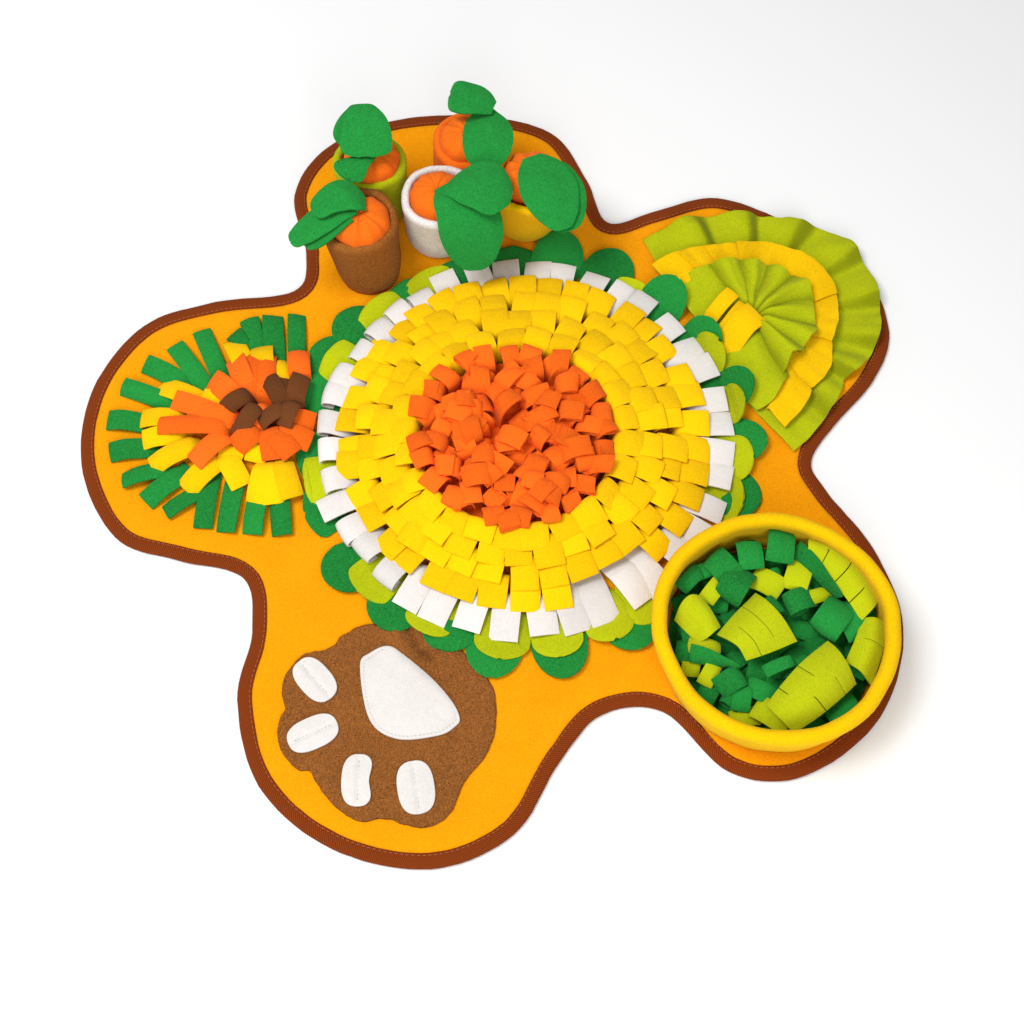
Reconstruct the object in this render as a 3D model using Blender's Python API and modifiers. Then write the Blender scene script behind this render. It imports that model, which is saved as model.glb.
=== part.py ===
"""Snuffle mat: a five-lobed fleece mat for a dog, with a fringed sunflower, an oval flower, a ruffle, a paw patch,
a soft bowl and five little pots that each hold a stuffed carrot.

The origin is the middle of the mat, z = 0 is its underside, +Z is up and -Y is the edge nearest the viewer.
Every sewn or cut piece is one object."""

import math
import random

import bmesh
import bpy
from mathutils import Vector

MM = 0.001

# ---- driving sizes, in millimetres ----
GAP = 0.3  # between two pieces that lie against each other
PANEL_THICK = 4.0
TOP = PANEL_THICK + GAP  # where a piece sewn on the panel starts
TAPE_WIDTH = 12.5
TAPE_WALL = 1.0
TAPE_HIGH = 4.4
FLEECE = 1.6  # cut strips and leaves
PATCH_THICK = 2.0
STRIP_ROOT = 5.0  # width of the sewn root of a fringe

# The mat's edge, anticlockwise, one row for each lobe from the notch before it: x, y.
LOBE_EDGES = (
    ("ruffle lobe", (274, -18), (297, 18), (340, 68), (361, 122), (343, 190), (278, 246), (205, 279), (140, 262)),
    ("pot lobe", (94, 249), (74, 302), (38, 362), (-40, 384), (-127, 377), (-192, 342), (-221, 283), (-205, 212)),
    ("oval lobe", (-214, 168), (-291, 155), (-356, 128), (-396, 60), (-397, -22), (-358, -94), (-300, -116)),
    ("paw lobe", (-240, -133), (-228, -185), (-236, -245), (-212, -320), (-150, -371), (-68, -388), (0, -360), (38, -300)),
    ("bowl lobe", (74, -259), (127, -256), (180, -308), (243, -311), (311, -261), (340, -181), (322, -106), (286, -50)),
)
EDGE_STEPS = 3  # points of the edge for each row entry

# Sunflower. The rows of fringe lie like shingles: each inner row is higher and passes over the root of the next.
# name, colour, tabs, centre x, y, radius and height at the root, at the bend and at the tip
FLOWER_ROWS = (
    ("petal_ring_white", "white", 38, (8, 2), (154, TOP), (162, 12.6), (191, 12.0)),
    ("petal_ring_yellow_1", "yellow", 36, (9, 4), (141, TOP), (148, 19.0), (172, 18.0)),
    ("petal_ring_yellow_2", "yellow", 32, (7, 1), (122, TOP), (129, 25.5), (152, 24.5)),
    ("petal_ring_yellow_3", "yellow", 28, (5, -2), (104, TOP), (111, 32.0), (132, 31.0)),
    ("petal_ring_yellow_4", "yellow", 24, (2, -6), (91.5, TOP), (96, 38.0), (113, 37.0)),
)
HEART_CENTRE = (0, -7)
HEART_RADIUS = 83.0
HEART_PITCH = 18.5
HEART_HIGH = 38.0

# Leaves round the sunflower: angle of each leaf in degrees and the radius of its tip.
LEAF_CENTRE = (8, 2)
DARK_LEAVES = (
    (0, 231), (17, 221), (34, 224), (47, 228), (62, 226), (79, 240), (92, 210), (108, 206), (124, 206), (142, 222),
    (154, 222), (166, 214), (184, 208), (202, 206), (219, 222), (236, 220), (250, 214), (263, 231), (279, 233),
    (297, 226), (344, 220),
)
LIME_LEAVES = (
    (12, 205), (30, 205), (54, 207), (117, 205), (134, 206), (155, 204), (193, 201), (227, 205), (246, 206),
    (265, 212), (279, 210), (293, 208), (304, 211), (341, 202), (354, 202),
)

# Oval flower on the left lobe: name, colour, tabs, first and last angle, centre, then half width, half height and
# height off the floor at the root, at the bend and at the tip
OVAL_ROWS = (
    ("oval_ring_green", "green", 19, (58, 300), (-275, 25), (68, 76, TOP), (76, 84, 7.5), (105, 113, 6.6)),
    ("oval_ring_yellow", "yellow", 14, (74, 312), (-275, 25), (46, 52, TOP), (52, 58, 14.5), (74, 82, 13.5)),
    ("oval_ring_orange", "orange", 10, (74, 345), (-281, 22), (22, 26, TOP), (27, 31, 22.0), (52, 58, 20.5)),
)
OVAL_HEART = (-236, 46)

# Ruffles: each is a gathered fan about one point, given as angle and reach of its outer edge.
GATHER = (226, 128)
RUFFLE_ROWS = (
    ("ruffle_lime_outer", "lime", 0.62, 6.5, 2.0, ((-72, 132), (-60, 122), (-36, 103), (-19, 118), (8, 129), (21, 132),
                                                  (37, 142), (54, 140), (71, 127), (86, 132), (110, 137), (132, 142))),
    ("ruffle_yellow", "yellow", 0.46, 13.5, 2.0, ((-88, 84), (-77, 110), (-57, 86), (-29, 88), (-7, 84), (25, 98),
                                                (44, 98), (75, 95), (92, 98), (122, 105), (140, 116))),
    ("ruffle_lime_inner", "lime", 0.17, 20.6, 2.2, ((-90, 76), (-80, 88), (-66, 71), (-41, 51), (1, 63), (37, 77),
                                                  (74, 76), (116, 79), (136, 87))),
)
RUFFLE_COLUMNS = 30

# Bowl on the right lower lobe: radius and height of its wall's section, from the outer foot round to the inner foot.
BOWL_FOOT = (222, -195)
BOWL_RIM = (218, -198)
BOWL_HIGH = 63.0
BOWL_SEAT = TAPE_HIGH + GAP
BOWL_SECTION = (
    (96.5, BOWL_SEAT), (98.5, 28), (101, 56), (100, 61.5), (97, 63), (94.6, 60), (94, 52), (91, BOWL_SEAT),
)
BOWL_SIDES = 36

# Paw, each outline as x, y
PAW_PATCH = (
    (-116, -182), (-136, -185), (-160, -196), (-185, -207), (-199, -232), (-196, -256), (-199, -280), (-182, -303),
    (-150, -337), (-121, -348), (-88, -352), (-55, -345), (-41, -308), (-17, -270), (-20, -232), (-46, -201), (-84, -189),
)
PAW_PAD = (
    (-132, -217), (-124, -205), (-108, -199), (-92, -209), (-69, -229), (-50, -252), (-47, -265), (-62, -277),
    (-98, -281), (-122, -264),
)
# centre, half length, half width, angle of the long axis, how deep one side is notched
PAW_TOES = (
    ((-170, -229), 22, 14, -48, 0.0),
    ((-169, -276), 22, 14, 25, 0.0),
    ((-129, -316), 22, 14, 90, 0.35),
    ((-81, -322), 22.5, 15.5, 100, 0.0),
)

# Pots: foot centre and radius, rim centre and radius, height.
POTS = {
    "brown": ((-140, 191), 31.0, (-144, 197), 34.6, 80.0),
    "lime": ((-136, 271), 30.0, (-138, 267), 34.0, 80.0),
    "white": ((-74, 236), 31.0, (-70, 226), 35.4, 77.0),
    "orange": ((-50, 302), 31.0, (-42, 291), 34.0, 80.0),
    "yellow": ((12, 255), 31.0, (15, 241), 37.0, 80.0),
}
POT_WALL = 4.0
POT_FLOOR = 7.5
POT_SIDES = 18

# Carrots: centre of the tip at the pot's floor, centre and radius of the dome.
CARROTS = {
    "brown": ((-140, 191), (-142, 191), 24.0),
    "lime": ((-136, 271), (-135, 264), 23.0),
    "white": ((-74, 236), (-73, 222), 24.0),
    "orange": ((-50, 302), (-45, 286.5), 23.5),
    "yellow": ((12, 255), (13, 237.5), 26.0),
}
CARROT_TOP = 97.5
CARROT_SIDES = 14

# Carrot leaves: a sheet along a spine: x, y, z, half width and the direction of the width in degrees.
LEAF_SEAT = CARROT_TOP + GAP
LEAF_ARCH = 0.05  # how far a leaf's sides hang below its middle, as a share of its half width
CARROT_LEAVES = {
    "leaf_lime": ((-137, 258, LEAF_SEAT + 0.5, 7, 0), (-145, 266, 104, 17, 0), (-150, 277, 114, 20, 0),
                  (-148, 291, 123, 19, 0), (-144, 302, 130, 12, 0), (-141, 291, 134, 19, 0), (-138, 268, 129, 22, 0),
                  (-138, 248, 120, 22, 0)),
    "leaf_orange_front": ((-30, 309, 100.5, 8, 0), (-29, 295, 99.4, 20, 0), (-29, 272, 99.0, 23, 0),
                          (-30, 252, 95, 17, 0), (-30, 244, 93, 8, 0)),
    "leaf_orange_back": ((-36, 297, 102.2, 12, -27), (-41, 307, 105, 22, -27), (-45, 318, 109, 24, -27),
                         (-49, 329, 110, 18, -27), (-52, 335, 110, 12, -27)),
    "leaf_white_low": ((-68, 219, LEAF_SEAT + 0.8, 8, 30), (-57, 206, 101, 22, 20), (-47, 190, 97, 29, 8),
                       (-45, 174, 82, 27, 4), (-46, 166, 64, 18, 0), (-46, 163, 52, 9, 0)),
    "leaf_white_top": ((-66, 221, 101.3, 6, 80), (-50, 219, 108, 17, 80), (-32, 215, 112, 27, 80),
                       (-16, 210, 110, 25, 80), (-6, 207, 106, 12, 80)),
    "leaf_yellow_low": ((16, 250, LEAF_SEAT + 0.8, 10, 20), (24, 232, LEAF_SEAT + 1.2, 23, 20), (36, 207, 97, 25, 20),
                        (43, 184, 93, 17, 20), (46, 174, 90, 9, 20)),
    "leaf_yellow_top": ((8, 250, 102.2, 10, 20), (14, 236, 101.8, 22, 20), (26, 210, 101.4, 25, 20),
                        (33, 188, 98, 17, 20), (36, 176, 96, 9, 20)),
    "leaf_brown_low": ((-148, 192, LEAF_SEAT + 0.6, 7, 70), (-166, 190, 99, 12, 60), (-186, 182, 93, 14, 50),
                       (-203, 173, 85, 10, 45), (-211, 168, 80, 5, 45)),
    "leaf_brown_top": ((-146, 195, 100.9, 8, 20), (-150, 206, 107, 12, 40), (-163, 208, 111, 16, 60),
                       (-178, 198, 107, 14, 60), (-190, 189, 100.5, 8, 50)),
}

# Cut pieces in the bowl: middle of the sewn root, direction in which it lies, tabs, tab width, length, height of tip
LIME_CUTS = (
    ("bowl_cut_lime_1", (232, -190), 130, 4, 11, 50, 40),
    ("bowl_cut_lime_2", (248, -212), -60, 4, 11, 48, 41),
    ("bowl_cut_lime_3", (266, -180), 50, 3, 11, 32, 37),
    ("bowl_cut_lime_4", (180, -200), 150, 3, 10, 34, 33),
)
GREEN_PITCH = 23.0
GREEN_HIGH = 22.0
GREEN_RADIUS = 80.0

COLOURS = {
    "amber": (0.98, 0.44, 0.004),
    "tape": (0.25, 0.05, 0.008),
    "green": (0.015, 0.30, 0.06),
    "lime": (0.46, 0.60, 0.01),
    "yellow": (1.0, 0.72, 0.004),
    "orange": (1.0, 0.13, 0.012),
    "brown": (0.28, 0.10, 0.025),
    "dark brown": (0.15, 0.04, 0.015),
    "white": (0.86, 0.83, 0.78),
}


# ---- scene, materials and general shapes ----
def clear_scene():
    for obj in list(bpy.data.objects):
        bpy.data.objects.remove(obj)


def make_materials():
    for name, colour in COLOURS.items():
        material = bpy.data.materials.new("fleece " + name)
        material.use_nodes = True
        shader = material.node_tree.nodes["Principled BSDF"]
        shader.inputs["Base Color"].default_value = (*colour, 1.0)
        shader.inputs["Roughness"].default_value = 0.9
        shader.inputs["Metallic"].default_value = 0.0


def add_object(name, data, colour):
    """Put a mesh or curve in the collection, with its fleece colour."""
    data.materials.append(bpy.data.materials["fleece " + colour])
    obj = bpy.data.objects.new(name, data)
    bpy.data.collections["Snuffle mat"].objects.link(obj)
    return obj


def mesh_from(bm, name):
    mesh = bpy.data.meshes.new(name)
    bm.to_mesh(mesh)
    bm.free()
    return mesh


def smooth_ring(points, steps):
    """Points and outward normals of a smooth closed line through the points, given anticlockwise."""
    count = len(points)
    ring = []
    for i in range(count):
        p0, p1, p2, p3 = (Vector(points[(i + k) % count]) for k in (-1, 0, 1, 2))
        for step in range(steps):
            t = step / steps
            place = 0.5 * (2 * p1 + (p2 - p0) * t + (2 * p0 - 5 * p1 + 4 * p2 - p3) * t**2
                           + (3 * p1 - p0 - 3 * p2 + p3) * t**3)
            along = (p2 - p0) + 2 * (2 * p0 - 5 * p1 + 4 * p2 - p3) * t + 3 * (3 * p1 - p0 - 3 * p2 + p3) * t**2
            ring.append((place, Vector((along.y, -along.x)).normalized()))
    return ring


def loft(name, colour, rings, capped):
    """Join rings of points, each closed, into one skin. Uncapped, the last ring joins the first."""
    bm = bmesh.new()
    rows = [[bm.verts.new(Vector(point) * MM) for point in ring] for ring in rings]
    pairs = list(zip(rows, rows[1:])) + ([] if capped else [(rows[-1], rows[0])])
    for lower, upper in pairs:
        for i, vertex in enumerate(lower):
            j = (i + 1) % len(lower)
            bm.faces.new((vertex, lower[j], upper[j], upper[i]))
    if capped:
        bm.faces.new(reversed(rows[0]))
        bm.faces.new(rows[-1])
    return add_object(name, mesh_from(bm, name), colour)


def circle(centre, radius, z, sides, wobble=0.0):
    """A level ring of points, very slightly out of round where wobble is given."""
    angles = [math.tau * i / sides for i in range(sides)]
    reach = [radius + wobble * math.sin(2 * a + 0.6) + 0.5 * wobble * math.sin(3 * a) for a in angles]
    return [(centre[0] + r * math.cos(a), centre[1] + r * math.sin(a), z) for a, r in zip(angles, reach)]


def mixed(a, b, share):
    return tuple(p + (q - p) * share for p, q in zip(a, b))


def thicken(obj, thickness):
    """Give an open sheet its thickness, upwards from the surface drawn."""
    solidify = obj.modifiers.new("Cloth thickness", "SOLIDIFY")
    solidify.thickness = thickness * MM
    solidify.offset = 1.0
    return obj


def sheet(name, colour, rows, thickness=FLEECE):
    """A cloth sheet from rows of points, thickened upwards."""
    bm = bmesh.new()
    grid = [[bm.verts.new(Vector(point) * MM) for point in row] for row in rows]
    for near, far in zip(grid, grid[1:]):
        for i in range(len(near) - 1):
            bm.faces.new((near[i], near[i + 1], far[i + 1], far[i]))
    return thicken(add_object(name, mesh_from(bm, name), colour), thickness)


def flat_patch(name, colour, outline, z, thickness):
    """A cut piece of cloth lying flat, with a smooth outline."""
    curve = bpy.data.curves.new(name, "CURVE")
    curve.dimensions = "2D"
    curve.fill_mode = "BOTH"
    curve.resolution_u = 3
    curve.extrude = thickness / 2 * MM
    spline = curve.splines.new("BEZIER")
    spline.use_cyclic_u = True
    spline.bezier_points.add(len(outline) - 1)
    for point, (x, y) in zip(spline.bezier_points, outline):
        point.co = (x * MM, y * MM, 0)
        point.handle_left_type = point.handle_right_type = "AUTO"
    obj = add_object(name, curve, colour)
    obj.location.z = (z + thickness / 2) * MM
    return obj


# ---- fringe ----
def comb(name, colour, root_in, root_out, stations, slit, closed, thickness=FLEECE):
    """A root strip with a tab between each two of its points.

    root_in and root_out are the strip's edges, and stations gives for each tab its points further out, as pairs of
    left and right. The slit between tabs narrows to nothing at the root."""
    bm = bmesh.new()
    inner = [bm.verts.new(Vector(point) * MM) for point in root_in]
    outer = [bm.verts.new(Vector(point) * MM) for point in root_out]
    for i, pairs in enumerate(stations):
        j = (i + 1) % len(inner) if closed else i + 1
        bm.faces.new((inner[j], inner[i], outer[i], outer[j]))
        left, right = outer[i], outer[j]
        for p, q in pairs:
            middle_gap = (Vector(q) - Vector(p)).normalized() * slit / 2
            new_left = bm.verts.new((Vector(p) + middle_gap) * MM)
            new_right = bm.verts.new((Vector(q) - middle_gap) * MM)
            bm.faces.new((right, left, new_left, new_right))
            left, right = new_left, new_right
    return thicken(add_object(name, mesh_from(bm, name), colour), thickness)


def oval_point(centre, half_wide, half_high, z, angle):
    return (centre[0] + half_wide * math.cos(angle), centre[1] + half_high * math.sin(angle), z)


def fringe_row(name, colour, tabs, arc, centre, root, bend, tip, slit, uneven, seed):
    """A row of tabs round an oval. root, bend and tip are each half width, half height and z."""
    rng = random.Random(seed)
    first, last = (math.radians(a) for a in arc)
    closed = arc[1] - arc[0] >= 360
    angles = [first + (last - first) * i / tabs for i in range(tabs + 1)]
    edge = angles[:-1] if closed else angles
    root_in = [oval_point(centre, root[0] - STRIP_ROOT, root[1] - STRIP_ROOT, root[2], a) for a in edge]
    root_out = [oval_point(centre, *root, a) for a in edge]
    stations = []
    for left, right in zip(angles, angles[1:]):
        longer = rng.uniform(-uneven, uneven)
        lift = rng.uniform(0, uneven * 0.25)
        far = (tip[0] + longer, tip[1] + longer, tip[2] + lift)
        stations.append([tuple(oval_point(centre, *at, a) for a in (left, right)) for at in (bend, far)])
    return comb(name, colour, root_in, root_out, stations, slit, closed)


def leaf_ring(name, colour, leaves, root, bend, z, belly, seed):
    """Leaves cut as one strip: each swells from the root to its belly and comes to a rounded tip."""
    rng = random.Random(seed)
    half_root = 13.0
    bm = bmesh.new()

    def point(radius, height, angle, aside=0.0):
        x = LEAF_CENTRE[0] + radius * math.cos(angle) - aside * math.sin(angle)
        y = LEAF_CENTRE[1] + radius * math.sin(angle) + aside * math.cos(angle)
        return bm.verts.new(Vector((x, y, height)) * MM)

    strip = []
    for degrees, reach in leaves:
        angle = math.radians(degrees)
        edge = [(point(root - STRIP_ROOT, TOP, angle, s), point(root, TOP, angle, s)) for s in (-half_root, half_root)]
        bend_pair = [point(bend, z, angle, s * 1.05) for s in (-half_root, half_root)]
        swell = belly + rng.uniform(-1.0, 1.0)
        belly_pair = [point(bend + (reach - bend) * 0.45, z, angle, s) for s in (-swell, swell)]
        neck_pair = [point(bend + (reach - bend) * 0.82, z, angle, s * 0.55) for s in (-swell, swell)]
        tip = point(reach, z, angle)
        rows = [[edge[0][1], edge[1][1]], bend_pair, belly_pair, neck_pair]
        for near, far in zip(rows, rows[1:]):
            bm.faces.new((near[1], near[0], far[0], far[1]))
        bm.faces.new((neck_pair[1], neck_pair[0], tip))
        bm.faces.new((edge[1][0], edge[0][0], edge[0][1], edge[1][1]))
        strip.append(edge)
    for i, edge in enumerate(strip):
        start = leaves[i][0]
        gap = (leaves[(i + 1) % len(leaves)][0] - start) % 360
        steps = max(1, round(gap / 10) - 1)
        near = edge[1]
        for step in range(1, steps + 1):
            angle = math.radians(start + gap * (step + 0.5) / (steps + 1))
            far = strip[(i + 1) % len(strip)][0]
            if step < steps:
                far = (point(root - STRIP_ROOT, TOP, angle), point(root, TOP, angle))
            bm.faces.new((far[0], near[0], near[1], far[1]))
            near = far
    return thicken(add_object(name, mesh_from(bm, name), colour), FLEECE - 0.1)


def tuft_plate(name, colour, centre, pitch, inside, high, lean, tab, seed, tufted=lambda x, y: True):
    """A backing of squares, where inside says so, with a standing tab on each square that tufted chooses.

    tab is the tab's share of its square, wide and thick."""
    rng = random.Random(seed)
    reach = 8
    bm = bmesh.new()
    corners = {}
    for i in range(-reach, reach):
        for j in range(-reach, reach):
            if not inside((i + 0.5) * pitch, (j + 0.5) * pitch):
                continue
            around = ((i, j), (i + 1, j), (i + 1, j + 1), (i, j + 1))
            for key in around:
                if key not in corners:
                    place = Vector((centre[0] + key[0] * pitch, centre[1] + key[1] * pitch, TOP))
                    corners[key] = bm.verts.new(place * MM)
            bm.faces.new([corners[key] for key in around])
    raised = bmesh.ops.extrude_face_region(bm, geom=bm.faces[:])["geom"]
    for vertex in raised:
        if isinstance(vertex, bmesh.types.BMVert):
            vertex.co.z += PATCH_THICK * MM
    bmesh.ops.recalc_face_normals(bm, faces=bm.faces[:])
    bm.normal_update()
    tops = [face for face in bm.faces if face.normal.z > 0.9]
    middles = {face: face.calc_center_median() / MM for face in tops}
    tops = [face for face in tops if tufted(middles[face].x - centre[0], middles[face].y - centre[1])]
    bmesh.ops.inset_individual(bm, faces=tops, thickness=0.1 * pitch * MM)
    for face in tops:
        middle = face.calc_center_median()
        turn = rng.uniform(-0.7, 0.7)
        wide_x, wide_y = tab if rng.random() < 0.5 else tab[::-1]
        for vertex in face.verts:
            off = vertex.co - middle
            x, y = off.x * wide_x / 0.8, off.y * wide_y / 0.8
            vertex.co.x = middle.x + x * math.cos(turn) - y * math.sin(turn)
            vertex.co.y = middle.y + x * math.sin(turn) + y * math.cos(turn)
    raised = bmesh.ops.extrude_discrete_faces(bm, faces=tops)["faces"]
    for face in raised:
        middle = face.calc_center_median() / MM
        away = Vector((middle.x - centre[0], middle.y - centre[1], 0))
        sway = Vector((rng.uniform(-2, 2), rng.uniform(-2, 2), 0))
        rise = Vector((0, 0, high + rng.uniform(-2.5, 2.5)))
        for vertex in face.verts:
            vertex.co += (away * lean + sway + rise) * MM
    return add_object(name, mesh_from(bm, name), colour)


# ---- the mat, its tape and the paw ----
def mat_level(edge, inset, z):
    return [(*(place - normal * inset), z) for place, normal in edge]


def make_mat():
    """The panel ends in a thin edge that the folded tape wraps."""
    edge = smooth_ring([point for row in LOBE_EDGES for point in row[1:]], EDGE_STEPS)
    tongue_low, tongue_high = TAPE_WALL + GAP, TAPE_HIGH - TAPE_WALL - GAP
    tongue_in, tongue_out = TAPE_WIDTH + GAP, TAPE_WALL + GAP
    panel = ((tongue_in, 0), (tongue_in, tongue_low), (tongue_out, tongue_low), (tongue_out, tongue_high),
             (tongue_in, tongue_high), (tongue_in, PANEL_THICK))
    loft("mat_panel", "amber", [mat_level(edge, *level) for level in panel], capped=True)
    tape = ((0, 0), (0, TAPE_HIGH), (TAPE_WIDTH, TAPE_HIGH), (TAPE_WIDTH, TAPE_HIGH - TAPE_WALL),
            (TAPE_WALL, TAPE_HIGH - TAPE_WALL), (TAPE_WALL, TAPE_WALL), (TAPE_WIDTH, TAPE_WALL), (TAPE_WIDTH, 0))
    loft("edge_binding", "tape", [mat_level(edge, *level) for level in tape], capped=False)


def make_paw():
    flat_patch("paw_patch", "brown", PAW_PATCH, TOP, PATCH_THICK)
    on_patch = TOP + PATCH_THICK + GAP
    flat_patch("paw_pad", "white", PAW_PAD, on_patch, PATCH_THICK)
    for number, (centre, long, wide, degrees, notch) in enumerate(PAW_TOES, 1):
        turn = math.radians(degrees)
        outline = []
        for k in range(10):
            a = math.tau * k / 10
            side = wide * math.sin(a) * (1 - notch * max(0.0, -math.sin(a)) ** 3)
            x, y = long * math.cos(a), side
            outline.append((centre[0] + x * math.cos(turn) - y * math.sin(turn),
                            centre[1] + x * math.sin(turn) + y * math.cos(turn)))
        flat_patch(f"paw_toe_{number}", "white", outline, on_patch, PATCH_THICK)


# ---- sunflower and oval flower ----
def make_sunflower():
    leaf_ring("leaf_ring_dark", "green", DARK_LEAVES, root=175, bend=181, z=6.7, belly=19.0, seed=3)
    leaf_ring("leaf_ring_lime", "lime", LIME_LEAVES, root=164, bend=171, z=8.8, belly=17.0, seed=4)
    for seed, (name, colour, tabs, centre, root, bend, tip) in enumerate(FLOWER_ROWS, 10):
        round_up = [(radius, radius, z) for radius, z in (root, bend, tip)]
        fringe_row(name, colour, tabs, (0, 360), centre, *round_up, slit=2.0, uneven=2.5, seed=seed)
    tuft_plate("flower_centre_orange", "orange", HEART_CENTRE, HEART_PITCH,
               lambda x, y: math.hypot(abs(x) + HEART_PITCH / 2, abs(y) + HEART_PITCH / 2) < HEART_RADIUS, HEART_HIGH, 0.19, (0.78, 0.34), 21)


def make_oval_flower():
    for seed, (name, colour, tabs, arc, centre, root, bend, tip) in enumerate(OVAL_ROWS, 30):
        fringe_row(name, colour, tabs, arc, centre, root, bend, tip, slit=3.0, uneven=3.0, seed=seed)
    tuft_plate("oval_ring_brown", "dark brown", OVAL_HEART, 13.0,
               lambda x, y: max(abs(x), abs(y)) < 19.6, 22.0, 0.15, (0.8, 0.4), 35)


# ---- ruffles ----
def reach_at(edge, angle):
    """Reach of a ruffle's outer edge at an angle, in degrees, eased between the rows of its table."""
    for (a, r), (b, s) in zip(edge, edge[1:]):
        if angle <= b:
            share = (angle - a) / (b - a)
            return r + (s - r) * share * share * (3 - 2 * share)
    return edge[-1][1]


def make_ruffles():
    for name, colour, inner_share, level, wave, edge in RUFFLE_ROWS:
        first, last = edge[0][0], edge[-1][0]
        rows = [[], [], []]
        for column in range(RUFFLE_COLUMNS + 1):
            degrees = first + (last - first) * column / RUFFLE_COLUMNS
            angle = math.radians(degrees)
            reach = reach_at(edge, degrees)
            side = 1 if column % 2 else -1
            inner = reach * inner_share
            rise = (level - TOP) * 0.6
            for row, radius, z in ((0, inner, TOP), (1, inner + rise + 3, level + side * wave * 0.4),
                                   (2, reach + side * 2.0, level + side * wave)):
                rows[row].append((GATHER[0] + radius * math.cos(angle), GATHER[1] + radius * math.sin(angle), z))
        sheet(name, colour, [list(reversed(row)) for row in rows])
    straight_comb("ruffle_tabs_yellow", "yellow", (205, 120), 205, 3, 13, 30, 24, 24.0)


def straight_comb(name, colour, middle, degrees, tabs, width, length, high, bend_share, floor=TOP):
    """A short straight root strip whose tabs rise and then lie out in one direction."""
    angle = math.radians(degrees)
    out, along = Vector((math.cos(angle), math.sin(angle))), Vector((-math.sin(angle), math.cos(angle)))
    start = Vector(middle) - along * width * tabs / 2

    def line(away, z, i):
        return (*(start + along * width * i + out * away), z)

    steps = range(tabs + 1)
    root_in = [line(-STRIP_ROOT, floor, i) for i in steps]
    root_out = [line(0, floor, i) for i in steps]
    rise = (high - floor) * 0.5
    stations = []
    for i in range(tabs):
        longer = 2.0 * (i % 2)
        pairs = [tuple(line(rise, high, i + k) for k in (0, 1)),
                 tuple(line(length + longer, high - length / bend_share, i + k) for k in (0, 1))]
        stations.append(pairs)
    return comb(name, colour, root_in, root_out, stations, 1.6, False)


# ---- bowl ----
def make_bowl():
    rings = [circle(mixed(BOWL_FOOT, BOWL_RIM, z / BOWL_HIGH), radius, z, BOWL_SIDES, wobble=0.8)
             for radius, z in reversed(BOWL_SECTION)]
    loft("bowl_wall", "yellow", [list(reversed(ring)) for ring in rings], capped=False)
    roots = []
    on_green = TOP + PATCH_THICK + GAP
    for name, middle, degrees, tabs, width, length, high in LIME_CUTS:
        straight_comb(name, "lime", middle, degrees, tabs, width, length, high, 12.0, on_green)
        roots.append((middle, math.radians(degrees), width * tabs / 2))

    def clear_of_lime(x, y):
        """True where a green tab stands clear of every lime root."""
        for (mx, my), angle, half in roots:
            dx, dy = x + BOWL_FOOT[0] - mx, y + BOWL_FOOT[1] - my
            away = dx * math.cos(angle) + dy * math.sin(angle)
            aside = -dx * math.sin(angle) + dy * math.cos(angle)
            if -26 < away < 34 and abs(aside) < half + 16:
                return False
        return True

    tuft_plate("bowl_strips_green", "green", BOWL_FOOT, GREEN_PITCH,
               lambda x, y: math.hypot(x, y) < GREEN_RADIUS - GREEN_PITCH * 0.4,
               GREEN_HIGH, 0.06, (0.72, 0.3), 41, clear_of_lime)


# ---- pots, carrots and their leaves ----
def make_pots():
    for name, (foot, foot_radius, rim, rim_radius, high) in POTS.items():
        section = [
            (foot_radius - 2.5, TOP), (foot_radius, TOP + 2.5), ((foot_radius + rim_radius) / 2 + 0.8, high * 0.5),
            (rim_radius, high - 3), (rim_radius - POT_WALL * 0.45, high), (rim_radius - POT_WALL, high - 2.5),
            (foot_radius - POT_WALL, POT_FLOOR),
        ]
        rings = [circle(mixed(foot, rim, z / high), radius, z, POT_SIDES) for radius, z in section]
        loft(f"pot_{name}", name, rings, capped=True)


def make_carrots():
    # height as a share of the way from tip to crown, radius as a share of the dome's
    shape = ((0.0, 0.30), (0.12, 0.50), (0.55, 0.84), (0.78, 1.0), (0.90, 0.86), (0.97, 0.55), (1.0, 0.25))
    for name, (tip, crown, radius) in CARROTS.items():
        low = POT_FLOOR + GAP
        rings = []
        for share, size in shape:
            z = low + (CARROT_TOP - low) * share
            rings.append(circle(mixed(tip, crown, share), radius * size, z, CARROT_SIDES))
        loft(f"carrot_{name}", "orange", rings, capped=True)


def make_carrot_leaves():
    for name, spine in CARROT_LEAVES.items():
        rows = []
        along = Vector(spine[1][:2]) - Vector(spine[0][:2])
        for x, y, z, half, degrees in spine:
            side = Vector((math.cos(math.radians(degrees)), math.sin(math.radians(degrees)), 0)) * half
            if side.x * along.y - side.y * along.x < 0:
                side.negate()
            edge_z = z - half * LEAF_ARCH
            rows.append((Vector((x, y, edge_z)) - side, Vector((x, y, z)), Vector((x, y, edge_z)) + side))
        sheet(name, "green", rows)


def main():
    clear_scene()
    collection = bpy.data.collections.new("Snuffle mat")
    bpy.context.scene.collection.children.link(collection)
    make_materials()
    make_mat()
    make_paw()
    make_sunflower()
    make_oval_flower()
    make_ruffles()
    make_bowl()
    make_pots()
    make_carrots()
    make_carrot_leaves()


main()
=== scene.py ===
"""Snuffle mat in its finish: napped fleece, twilled tape, fringes, ruffles, a bowl and carrots in pots.

Lengths are in millimetres, and MM turns them into the scene's metres. The mat lies on z = 0 with its middle
at the origin, and -Y is the side nearest the viewer."""

import math
import random

import bpy
import numpy as np
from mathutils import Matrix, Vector
from mathutils import noise


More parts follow.
